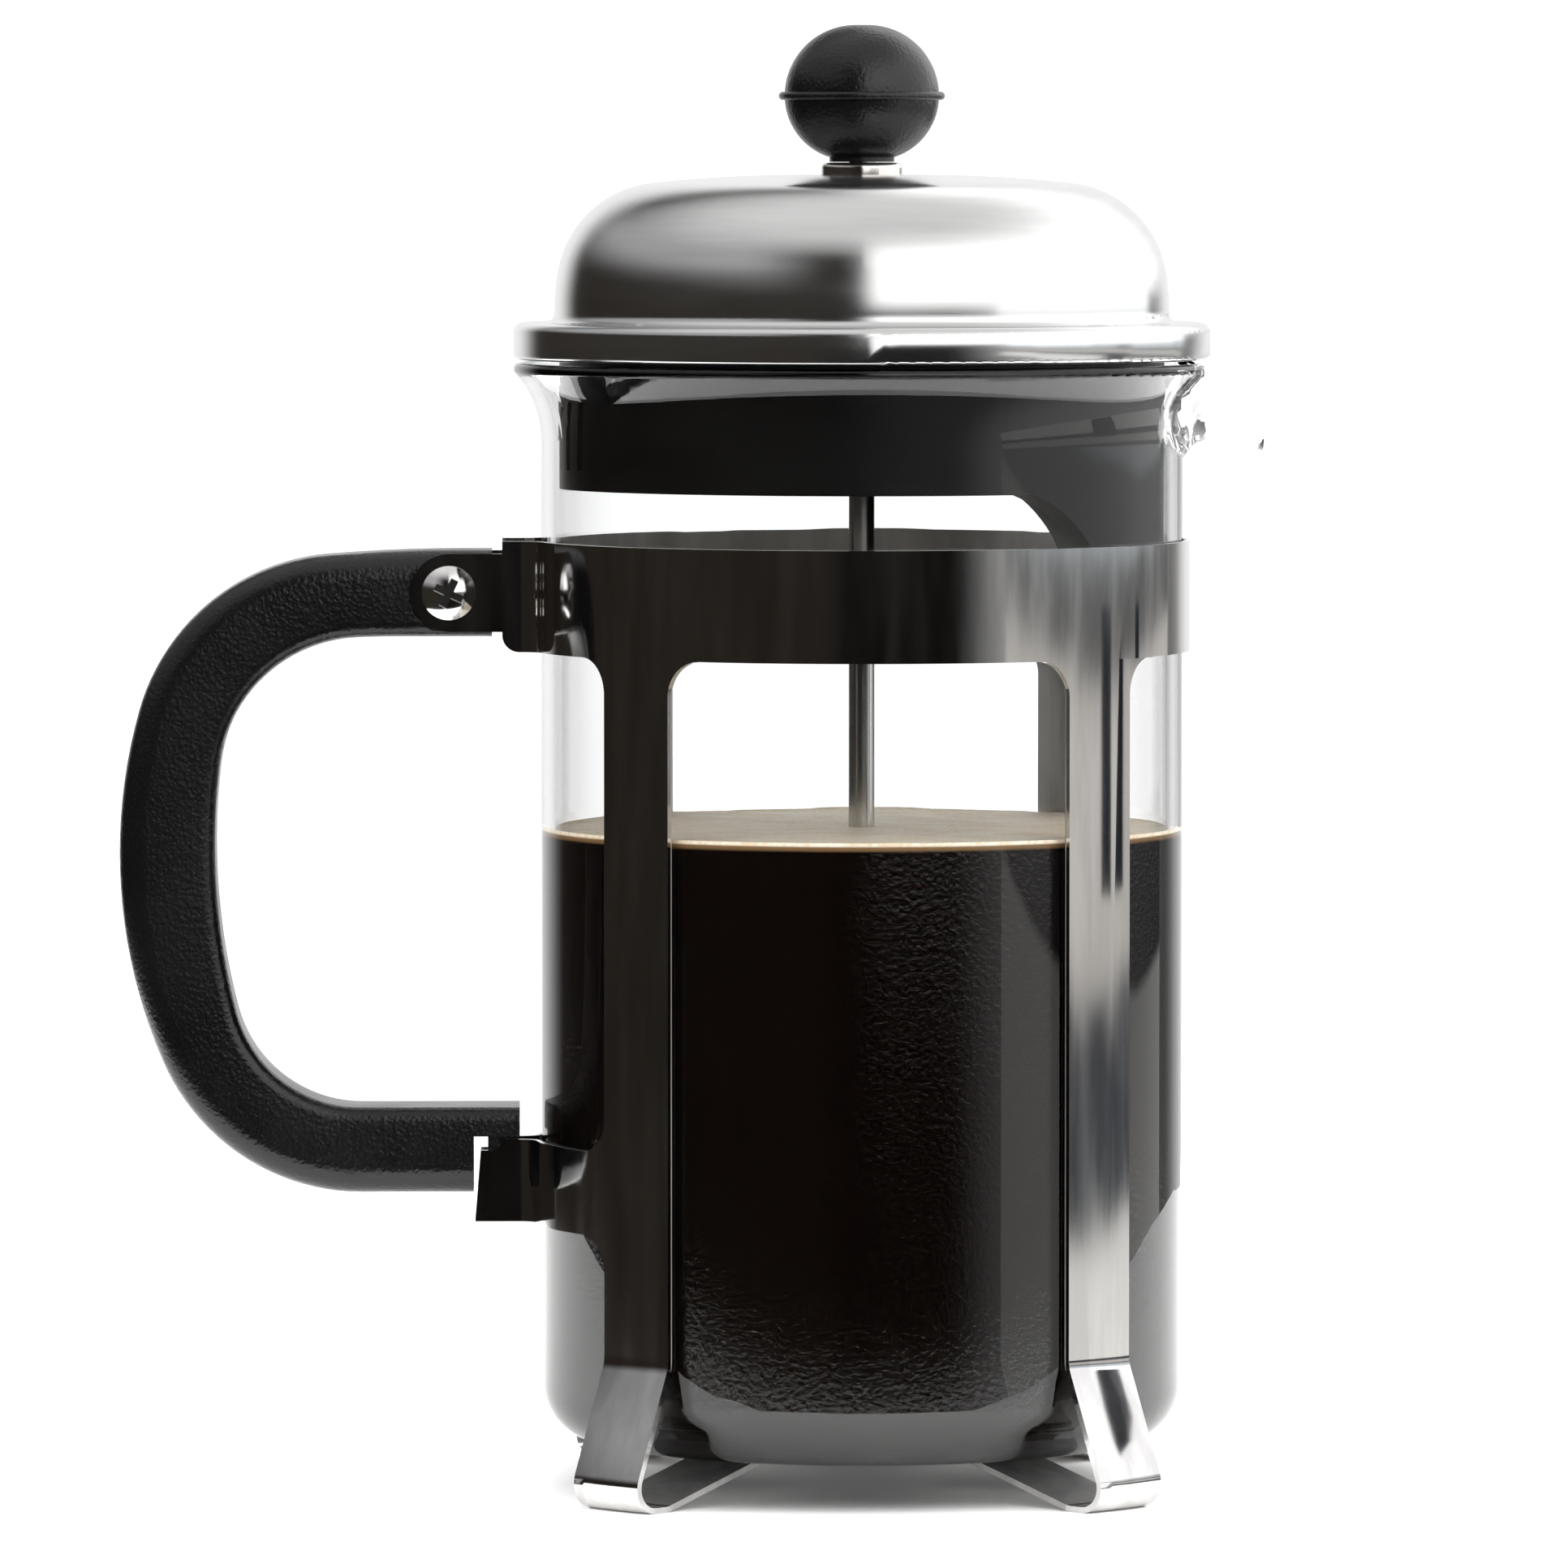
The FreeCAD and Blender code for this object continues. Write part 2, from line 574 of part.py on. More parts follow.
def ear_front():
    """View of an ear from the -Y side, with the notched corner of its flange."""
    end_x = -BAND_OUT - EAR_OUT
    high_x = end_x + EAR_LEAN
    top = EAR_Z + EAR_HEIGHT
    floor_z = top - EAR_NOTCH
    corner_x = high_x + EAR_NOTCH
    slant = EAR_NOTCH * math.sqrt(0.5)
    inner = xyz(corner_x + EAR_NOTCH, 0, top)
    return face_of([
        line(xyz(0, 0, EAR_Z), xyz(end_x, 0, EAR_Z)),
        line(xyz(end_x, 0, EAR_Z), xyz(high_x, 0, floor_z)),
        line(xyz(high_x, 0, floor_z), xyz(corner_x, 0, floor_z)),
        arc(xyz(corner_x, 0, floor_z), xyz(corner_x + slant, 0, top - slant), inner),
        line(inner, xyz(0, 0, top)),
        line(xyz(0, 0, top), xyz(0, 0, EAR_Z)),
    ])


def ear_side():
    """View of an ear along X: it flares out where it leaves the leg's edge."""
    top = EAR_Z + EAR_HEIGHT
    leg_y = -BAND_OUT * math.sin(math.radians(LEG_ANGLE - LEG_HALF_ANGLE))
    root_y = leg_y - EAR_ROOT
    flat_y = leg_y + EAR_LEG_R
    slant = EAR_LEG_R * (1 - math.sqrt(0.5))
    low_z = EAR_Z - EAR_LEG_R
    high_z = top + EAR_LEG_R
    return face_of([
        line(xyz(0, 0, EAR_Z), xyz(0, flat_y, EAR_Z)),
        arc(xyz(0, flat_y, EAR_Z), xyz(0, leg_y + slant, EAR_Z - slant), xyz(0, leg_y, low_z)),
        line(xyz(0, leg_y, low_z), xyz(0, root_y, low_z)),
        line(xyz(0, root_y, low_z), xyz(0, root_y, high_z)),
        line(xyz(0, root_y, high_z), xyz(0, leg_y, high_z)),
        arc(xyz(0, leg_y, high_z), xyz(0, leg_y + slant, top + slant), xyz(0, flat_y, top)),
        line(xyz(0, flat_y, top), xyz(0, 0, top)),
        line(xyz(0, 0, top), xyz(0, 0, EAR_Z)),
    ])


def ear():
    """The lower ear of the handle-side leg on the -Y side."""
    flat_y = -TONGUE_T / 2 - SHEET
    end_x = -BAND_OUT - EAR_OUT - BIT
    body = bent_sheet(-180 + LEG_ANGLE, flat_y, EAR_BEND_R, end_x).extrude(xyz(0, 0, FAR))
    body = body.common(ear_side().extrude(xyz(-FAR, 0, 0)))
    flange = ear_front().extrude(xyz(0, -FAR, 0))
    past_leg = Part.makeBox(FAR, FAR, FAR, xyz(-BAND_OUT, -FAR, 0))
    return body.common(flange.fuse(past_leg))


def lap():
    """The front half's end, which steps out over the rear half's tail."""
    end = -LAP_SEAM_ANGLE
    step_end = end - LAP_ANGLE
    step_start = step_end - JOGGLE_ANGLE
    outer = BAND_OUT + SHEET
    edges = [
        arc(polar(BAND_OUT, step_start), polar(BAND_OUT, (step_start + end) / 2),
            polar(BAND_OUT, end)),
        line(polar(BAND_OUT, end), polar(outer, end)),
        arc(polar(outer, end), polar(outer, (end + step_end) / 2), polar(outer, step_end)),
        line(polar(outer, step_end), polar(BAND_OUT, step_start)),
    ]
    plate = face_of(edges).extrude(xyz(0, 0, BAND_HEIGHT))
    plate.translate(xyz(0, 0, BAND_Z))
    return plate


def frame_half(end_angle):
    """The half on the -Y side: band, tab, two legs, ear, and base strap."""
    legs_round = turned(leg_profile())
    front_leg = leg(legs_round, -LEG_ANGLE)
    back_leg = leg(legs_round, -180.0 + LEG_ANGLE)
    body = band(end_angle).fuse([front_leg, back_leg, ear()])
    body = body.cut(Part.makeBox(FAR, FAR, SEAT_Z + BIT, xyz(-FAR / 2, -HALF_GAP / 2, -BIT)))
    for direction in (-LEG_ANGLE, -180.0 + LEG_ANGLE):
        centre = polar(RIVET_CIRCLE_R, direction)
        body = body.cut(Part.makeCylinder(RIVET_R, SEAT_Z + BIT, centre))
    return body


def frame_front():
    return solid(frame_half(-LAP_SEAM_ANGLE - LAP_ANGLE).fuse(lap()))


def frame_rear():
    return solid(mirrored(frame_half(LAP_SEAM_ANGLE + LAP_ANGLE)))


def rivet_directions():
    return [LEG_ANGLE, 180.0 - LEG_ANGLE, 180.0 + LEG_ANGLE, -LEG_ANGLE]


def base_plate():
    plate = disc(BASE_PLATE_R, UNDER_SEAT - BASE_PLATE_T, BASE_PLATE_T)
    for direction in rivet_directions():
        centre = polar(RIVET_CIRCLE_R, direction)
        plate = plate.cut(Part.makeCylinder(RIVET_R, UNDER_SEAT, centre))
    return solid(plate)


def base_rivets():
    rivets = []
    low = UNDER_SEAT - BASE_PLATE_T
    for direction in rivet_directions():
        centre = polar(RIVET_CIRCLE_R, direction, low)
        shank = Part.makeCylinder(RIVET_R, SEAT_Z - low, centre)
        under = centre - xyz(0, 0, RIVET_HEAD_H)
        head = Part.makeCylinder(RIVET_HEAD_R, RIVET_HEAD_H, under)
        head = head.makeFillet(RIVET_EDGE_R, rim_edges(head, under.z))
        rivets.append(solid(head.fuse(shank)))
    return Part.makeCompound(rivets)


# ----------------------------------------------------------------------- handle
def handle_point(out, z):
    """A point in the handle's plane, at a distance out from the band."""
    return xyz(-BAND_OUT - out, 0, z)


def arc_chain(start, arcs, end_z):
    """Tangent arcs that leave a point along -X and come back level at end_z."""
    edges = []
    heading = 0.0
    here = start
    for radius, turn in arcs:
        edges.append(arc_run(here, radius, heading, heading + turn))
        here = edges[-1].Vertexes[-1].Point
        heading += turn
    last_radius = (here.z - end_z) / (1 + math.cos(math.radians(heading)))
    edges.append(arc_run(here, last_radius, heading, 180.0))
    return edges


def arc_run(start, radius, heading, new_heading):
    """One arc that turns downward from one heading to another."""
    points = []
    for angle in (heading, (heading + new_heading) / 2, new_heading):
        turn = math.radians(angle)
        begin = math.radians(heading)
        dx = radius * (math.sin(turn) - math.sin(begin))
        dz = radius * (math.cos(turn) - math.cos(begin))
        points.append(start + xyz(-dx, 0, dz))
    return arc(*points)


def handle_curves():
    """The handle's outer and inner curves, from the upper arm to the lower."""
    outer_start = handle_point(OUTER_BEND_OUT, HANDLE_TOP)
    inner_start = handle_point(INNER_BEND_OUT, HANDLE_TOP - HANDLE_ARM)
    outer = arc_chain(outer_start, OUTER_ARCS, LOWER_ARM_BOTTOM)
    return outer, arc_chain(inner_start, INNER_ARCS, LOWER_ARM_TOP)


def handle_outline():
    """Side view of the D: outer curve, lower end with its shelf, inner curve."""
    outer, inner = handle_curves()
    lower_end = [
        outer[-1].Vertexes[-1].Point,
        handle_point(SLIT_FROM_OUT, LOWER_ARM_BOTTOM),
        handle_point(SLIT_FROM_OUT, SHELF_Z),
        handle_point(SHELF_OUT, SHELF_Z),
        handle_point(SHELF_OUT, LOWER_ARM_TOP),
        inner[-1].Vertexes[-1].Point,
    ]
    upper_end = [
        handle_point(INNER_BEND_OUT, HANDLE_TOP - HANDLE_ARM),
        handle_point(HANDLE_START_OUT, HANDLE_TOP - HANDLE_ARM),
        handle_point(HANDLE_START_OUT, HANDLE_TOP),
        handle_point(OUTER_BEND_OUT, HANDLE_TOP),
    ]
    edges = outer + inner
    for corners in (lower_end, upper_end):
        edges += [line(a, b) for a, b in zip(corners, corners[1:])]
    return outline(edges)


def side_edges(body, arcs):
    """The edges on the handle's flat sides that follow one of the given arcs."""
    radii = [edge.Curve.Radius for edge in arcs]
    found = []
    for edge in body.Edges:
        if edge.BoundBox.YLength < CLOSE and isinstance(edge.Curve, Part.Circle):
            if min(abs(edge.Curve.Radius - radius) for radius in radii) < CLOSE:
                found.append(edge)
    return found


def handle():
    body = handle_outline().extrude(xyz(0, HANDLE_DEPTH, 0))
    body.translate(xyz(0, -HANDLE_DEPTH / 2, 0))
    outer, inner = handle_curves()
    body = body.makeFillet(HANDLE_OUTER_EDGE_R, side_edges(body, outer))
    body = body.makeFillet(HANDLE_INNER_EDGE_R, side_edges(body, inner))
    tongue_corner = handle_point(TONGUE_OUT + TONGUE_WIDTH, SHELF_Z - TONGUE_DROP)
    tongue_corner.y = -TONGUE_T / 2
    body = body.fuse(Part.makeBox(TONGUE_WIDTH, TONGUE_T, TONGUE_DROP + BIT, tongue_corner))
    slot_r = TAB_HEIGHT / 2 + POCKET_MARGIN
    centre_x = -BAND_OUT - TAB_OUT + TAB_HEIGHT / 2
    for start in (-FAR, POCKET_FLOOR):
        depth = FAR - POCKET_FLOOR
        corner = xyz(centre_x, start, SCREW_Z - slot_r)
        body = body.cut(along_y(slot_r, centre_x, SCREW_Z, start, depth))
        body = body.cut(Part.makeBox(FAR, depth, 2 * slot_r, corner))
    body = body.cut(along_y(SCREW_HOLE_R, -BAND_OUT - SCREW_OUT, SCREW_Z, -FAR / 2, FAR))
    return solid(body)


def handle_screw():
    """Pan-head screw with a cross recess, lying along Y, head on the -Y side."""
    length = 2 * TAB_FACE + NUT_H + SCREW_PAST_NUT
    shank = disc(SCREW_R, 0, length)
    crown_r = (SCREW_HEAD_R ** 2 + SCREW_CROWN_H ** 2) / (2 * SCREW_CROWN_H)
    dome = Part.makeSphere(crown_r, xyz(0, 0, crown_r - SCREW_HEAD_H))
    head = disc(SCREW_HEAD_R, -SCREW_HEAD_H, SCREW_HEAD_H).common(dome)
    for turn in (0, 90):
        wing = Part.makeBox(CROSS_LENGTH, CROSS_WIDTH, CROSS_DEPTH + BIT,
                            xyz(-CROSS_LENGTH / 2, -CROSS_WIDTH / 2, -SCREW_HEAD_H - BIT))
        wing.rotate(xyz(0, 0, 0), xyz(0, 0, 1), turn + CROSS_TURN)
        head = head.cut(wing)
    screw = solid(head.fuse(shank))
    screw.rotate(xyz(0, 0, 0), xyz(1, 0, 0), -90)
    screw.translate(xyz(-BAND_OUT - SCREW_OUT, -TAB_FACE, SCREW_Z))
    return screw


def handle_nut():
    """Hexagon nut whose outer face is bevelled at the corners."""
    face_r = NUT_FLATS / 2 - NUT_FACE_INSET
    bevel = Part.makeCone(face_r + NUT_H, face_r, NUT_H)
    nut = hexagon(NUT_FLATS, 0, NUT_H).common(bevel)
    nut = solid(nut.cut(disc(SCREW_R, -BIT, NUT_H + 2 * BIT)))
    nut.rotate(xyz(0, 0, 0), xyz(1, 0, 0), -90)
    nut.translate(xyz(-BAND_OUT - SCREW_OUT, TAB_FACE, SCREW_Z))
    return nut


# -------------------------------------------------------------------------- lid
def dome_edges():
    """The dome's three tangent curves, from its foot to its level middle."""
    edges = []
    here = xyz(DOME_R, 0, FLANGE_TOP + DOME_FOOT)
    for radius, start, end in zip(DOME_RADII, DOME_HEADINGS, DOME_HEADINGS[1:]):
        centre = here - upright(start) * radius
        after = centre + upright(end) * radius
        edges.append(arc(here, centre + upright((start + end) / 2) * radius, after))
        here = after
    return edges, here


def lid_shell():
    """Hem, upright flange, shoulder and dome, pressed from one sheet."""
    corners = [
        xyz(FLANGE_R - HEM_WIDTH, 0, LID_Z),
        xyz(FLANGE_R, 0, LID_Z),
        xyz(FLANGE_R, 0, FLANGE_TOP),
        xyz(DOME_R, 0, FLANGE_TOP),
        xyz(DOME_R, 0, FLANGE_TOP + DOME_FOOT),
    ]
    dome, crown = dome_edges()
    path = rounded_path(corners, [HEM_R, FLANGE_CORNER_R, DOME_FOOT_R]) + dome
    path.append(line(crown, xyz(BUSH_SHANK_R, 0, DOME_TOP)))
    return solid(turned(thickened(path, LID_SHEET)))


def lid_bush():
    """Shouldered guide bush that the rod slides in."""
    head = disc(BUSH_R, DOME_TOP, BUSH_HEAD_H)
    head = head.makeFillet(BUSH_EDGE_R, rim_edges(head, BUSH_TOP))
    shank = disc(BUSH_SHANK_R, DOME_TOP - BUSH_SHANK_H, BUSH_SHANK_H)
    bore = disc(BORE_R, DOME_TOP - BUSH_SHANK_H - BIT, BUSH_HEAD_H + BUSH_SHANK_H + 2 * BIT)
    return solid(head.fuse(shank).cut(bore))


def lid_nut():
    """Hexagon nut that clamps the bush to the dome from inside."""
    low = DOME_TOP - LID_SHEET - LID_NUT_H
    bore = disc(BUSH_SHANK_R, low - BIT, LID_NUT_H + 2 * BIT)
    return solid(hexagon(LID_NUT_FLATS, low, LID_NUT_H).cut(bore))


def lid_liner():
    """Skirt inside the glass, rim in the flange, web, spout guard and slots."""
    inner = LINER_R - LINER_WALL
    skirt = ring(inner, LINER_R, SKIRT_Z, LINER_TOP - SKIRT_Z)
    rim_r = FLANGE_R - LID_SHEET - LINER_RIM_TO_FLANGE
    rim = ring(inner, rim_r, LINER_RIM_Z, LINER_RIM_T)
    web = ring(BORE_R + WEB_HOLE_CLEARANCE, LINER_R, LINER_TOP - WEB_T, WEB_T)
    guard = ring(inner, LINER_R, SKIRT_Z - GUARD_BELOW_SKIRT, GUARD_BELOW_SKIRT)
    guard = guard.common(guard_outline().extrude(xyz(FAR, 0, 0)))
    body = skirt.fuse([rim, web, guard])
    first = 180.0 - SLOT_PITCH_ANGLE * (SLOT_COUNT - 1) / 2
    slot_corner = xyz(LINER_R / 2, -SLOT_WIDTH / 2, SKIRT_Z + SLOT_ABOVE_BOTTOM)
    for index in range(SLOT_COUNT):
        slot = Part.makeBox(FAR, SLOT_WIDTH, SLOT_HEIGHT, slot_corner)
        slot.rotate(xyz(0, 0, 0), xyz(0, 0, 1), first + SLOT_PITCH_ANGLE * index)
        body = body.cut(slot)
    return solid(body)


def guard_outline():
    """View of the guard from the spout: narrow foot, wide curved shoulders."""
    low = SKIRT_Z - GUARD_BELOW_SKIRT
    foot = LINER_R * math.sin(math.radians(GUARD_HALF_ANGLE))
    wide = LINER_R * math.sin(math.radians(GUARD_SHOULDER_ANGLE))
    bend = xyz(0, foot + (wide - foot) * GUARD_BEND_OUT, low + GUARD_BELOW_SKIRT * GUARD_BEND_UP)
    right = [
        line(xyz(0, 0, low), xyz(0, foot, low)),
        arc(xyz(0, foot, low), bend, xyz(0, wide, SKIRT_Z)),
        line(xyz(0, wide, SKIRT_Z), xyz(0, 0, SKIRT_Z)),
    ]
    return outline(right + [mirrored(edge) for edge in right])


# ---------------------------------------------------------------------- plunger
def knob():
    """Ball knob on a short neck, with a ridge at its equator."""
    neck_top = KNOB_Z + KNOB_NECK_H
    crown = EQUATOR_Z + KNOB_TOP_H
    ridge_r = KNOB_R + KNOB_RIDGE
    half_ridge = KNOB_RIDGE_H / 2
    waist = xyz(KNOB_R, 0, EQUATOR_Z)
    crown_edge = xyz(KNOB_R - KNOB_TOP_H, 0, crown)
    neck_edge = xyz(KNOB_NECK_R, 0, neck_top)
    upper_mid = waist + (upright(45.0) - upright(0.0)) * KNOB_TOP_H
    lower_mid = waist + (upright(-45.0) - upright(0.0)) * KNOB_LOW_H
    ball = turned(face_of([
        line(xyz(0, 0, KNOB_Z), xyz(KNOB_NECK_R, 0, KNOB_Z)),
        line(xyz(KNOB_NECK_R, 0, KNOB_Z), neck_edge),
        arc(neck_edge, lower_mid, waist),
        arc(waist, upper_mid, crown_edge),
        line(crown_edge, xyz(0, 0, crown)),
        line(xyz(0, 0, crown), xyz(0, 0, KNOB_Z)),
    ]))
    low = xyz(ridge_r - half_ridge, 0, EQUATOR_Z - half_ridge)
    high = xyz(ridge_r - half_ridge, 0, EQUATOR_Z + half_ridge)
    ridge = turned(face_of([
        line(xyz(0, 0, low.z), low),
        arc(low, xyz(ridge_r, 0, EQUATOR_Z), high),
        line(high, xyz(0, 0, high.z)),
        line(xyz(0, 0, high.z), xyz(0, 0, low.z)),
    ]))
    return solid(ball.fuse(ridge).cut(disc(INSERT_R, KNOB_Z - BIT, INSERT_H + BIT)))


def knob_insert():
    """Threaded insert moulded into the knob, closed at its top."""
    body = disc(INSERT_R, KNOB_Z, INSERT_H)
    bore_depth = INSERT_H - INSERT_END_GAP / 2
    return solid(body.cut(disc(BORE_R, KNOB_Z - BIT, bore_depth + BIT)))


def plunger_rod():
    """Plain rod with a collar that bears on the filter's top plate."""
    foot_z = HUB_Z + ROD_END_UP
    collar = disc(ROD_COLLAR_R, STACK_TOP + COLLAR_GAP, ROD_COLLAR_H)
    return solid(disc(ROD_R, foot_z, ROD_TOP - foot_z).fuse(collar))


def spiral_plate():
    """Perforated plate that carries the edge spring."""
    plate = disc(SPIRAL_R, SPIRAL_Z, PLATE_T)
    for count, circle in zip(SPIRAL_HOLE_COUNTS, SPIRAL_HOLE_CIRCLES):
        for index in range(count):
            centre = polar(circle, 360.0 * index / count, SPIRAL_Z - BIT)
            plate = plate.cut(Part.makeCylinder(SPIRAL_HOLE_R, PLATE_T + 2 * BIT, centre))
    return solid(plate.cut(disc(BORE_R, SPIRAL_Z - BIT, PLATE_T + 2 * BIT)))


def edge_spring():
    """Outer shape of the coil spring that lies round the spiral plate's rim."""
    return Part.makeTorus(SPRING_CIRCLE_R, SPRING_WIRE_R, xyz(0, 0, STACK_TOP + SPRING_WIRE_R))


def filter_mesh():
    """Woven steel screen with its edge turned up along the glass."""
    floor = ring(BORE_R, MESH_R, MESH_Z, MESH_T)
    return solid(floor.fuse(ring(MESH_R - MESH_T, MESH_R, MESH_Z, MESH_RIM_H)))


def cross_plate():
    """Bottom plate with large round windows."""
    plate = ring(BORE_R, MESH_R - CROSS_PLATE_MARGIN, FILTER_Z, PLATE_T)
    for index in range(CROSS_HOLE_COUNT):
        centre = polar(CROSS_HOLE_CIRCLE_R, 360.0 * (index + 0.5) / CROSS_HOLE_COUNT, FILTER_Z - BIT)
        plate = plate.cut(Part.makeCylinder(CROSS_HOLE_R, PLATE_T + 2 * BIT, centre))
    return solid(plate)


def cross_hub():
    """Threaded hub under the cross plate."""
    return solid(ring(BORE_R, HUB_R, HUB_Z, HUB_H))


NODES = {
    "frame_front": frame_front,
    "frame_rear": frame_rear,
    "base_plate": base_plate,
    "base_rivets": base_rivets,
    "handle": handle,
    "handle_screw": handle_screw,
    "handle_nut": handle_nut,
    "glass_beaker": glass_beaker,
    "lid_shell": lid_shell,
    "lid_bush": lid_bush,
    "lid_nut": lid_nut,
    "lid_liner": lid_liner,
    "knob": knob,
    "knob_insert": knob_insert,
    "plunger_rod": plunger_rod,
    "spiral_plate": spiral_plate,
    "edge_spring": edge_spring,
    "filter_mesh": filter_mesh,
    "cross_plate": cross_plate,
    "cross_hub": cross_hub,
}


os.makedirs("parts", exist_ok=True)
for name, build in NODES.items():
    shape = build()
    shape.exportStep("parts/" + name + ".step")
    box = shape.BoundBox
    low = "%.1f %.1f %.1f" % (box.XMin, box.YMin, box.ZMin)
    high = "%.1f %.1f %.1f" % (box.XMax, box.YMax, box.ZMax)
    print(name, len(shape.Solids), "solids, from", low, "to", high, "valid", shape.isValid())
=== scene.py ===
import logging
import math
from dataclasses import dataclass
from enum import Enum

import bmesh
import bpy
from mathutils import Matrix, Vector


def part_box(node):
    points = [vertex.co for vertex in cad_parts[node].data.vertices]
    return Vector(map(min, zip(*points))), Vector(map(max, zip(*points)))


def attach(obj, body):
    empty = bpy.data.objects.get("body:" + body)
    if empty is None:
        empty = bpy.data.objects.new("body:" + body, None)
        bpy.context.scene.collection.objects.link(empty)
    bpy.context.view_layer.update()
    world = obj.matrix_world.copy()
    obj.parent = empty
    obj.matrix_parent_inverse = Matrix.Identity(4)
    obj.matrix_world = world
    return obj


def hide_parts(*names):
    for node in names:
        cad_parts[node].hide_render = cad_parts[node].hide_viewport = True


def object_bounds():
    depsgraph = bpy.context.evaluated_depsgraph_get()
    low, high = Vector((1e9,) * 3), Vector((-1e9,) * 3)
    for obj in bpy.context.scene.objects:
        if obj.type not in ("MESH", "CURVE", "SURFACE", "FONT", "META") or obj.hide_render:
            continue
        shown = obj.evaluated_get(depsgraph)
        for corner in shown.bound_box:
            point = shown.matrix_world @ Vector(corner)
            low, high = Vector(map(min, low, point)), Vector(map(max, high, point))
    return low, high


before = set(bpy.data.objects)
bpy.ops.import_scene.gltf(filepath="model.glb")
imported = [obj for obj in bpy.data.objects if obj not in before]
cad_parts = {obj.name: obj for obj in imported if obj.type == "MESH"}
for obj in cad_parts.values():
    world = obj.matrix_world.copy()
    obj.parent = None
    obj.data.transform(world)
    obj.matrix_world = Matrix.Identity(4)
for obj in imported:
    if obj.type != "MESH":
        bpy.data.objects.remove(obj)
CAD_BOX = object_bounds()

LOG = logging.getLogger("french_press")
MM = 0.001
WELD = 0.001 * MM
FLAT_ANGLE = math.radians(0.05)
STRAIGHT_GLASS_RADIUS = 49.4 * MM
AIM_OFFSET = (14.3 * MM, -4.3 * MM)

Colour = tuple[float, float, float]


class Body(Enum):
    """The CAD bodies that pieces ride on."""

    STAND = "stand"
    BEAKER = "beaker"
    LID = "lid"
    LINER = "liner"
    ROD = "rod"
    KNOB = "knob"
    FILTER = "filter"


class Brushing(Enum):
    """The way the polishing lines run on a steel piece."""

    UPRIGHT = "upright"
    ROUND_AXIS = "round_axis"


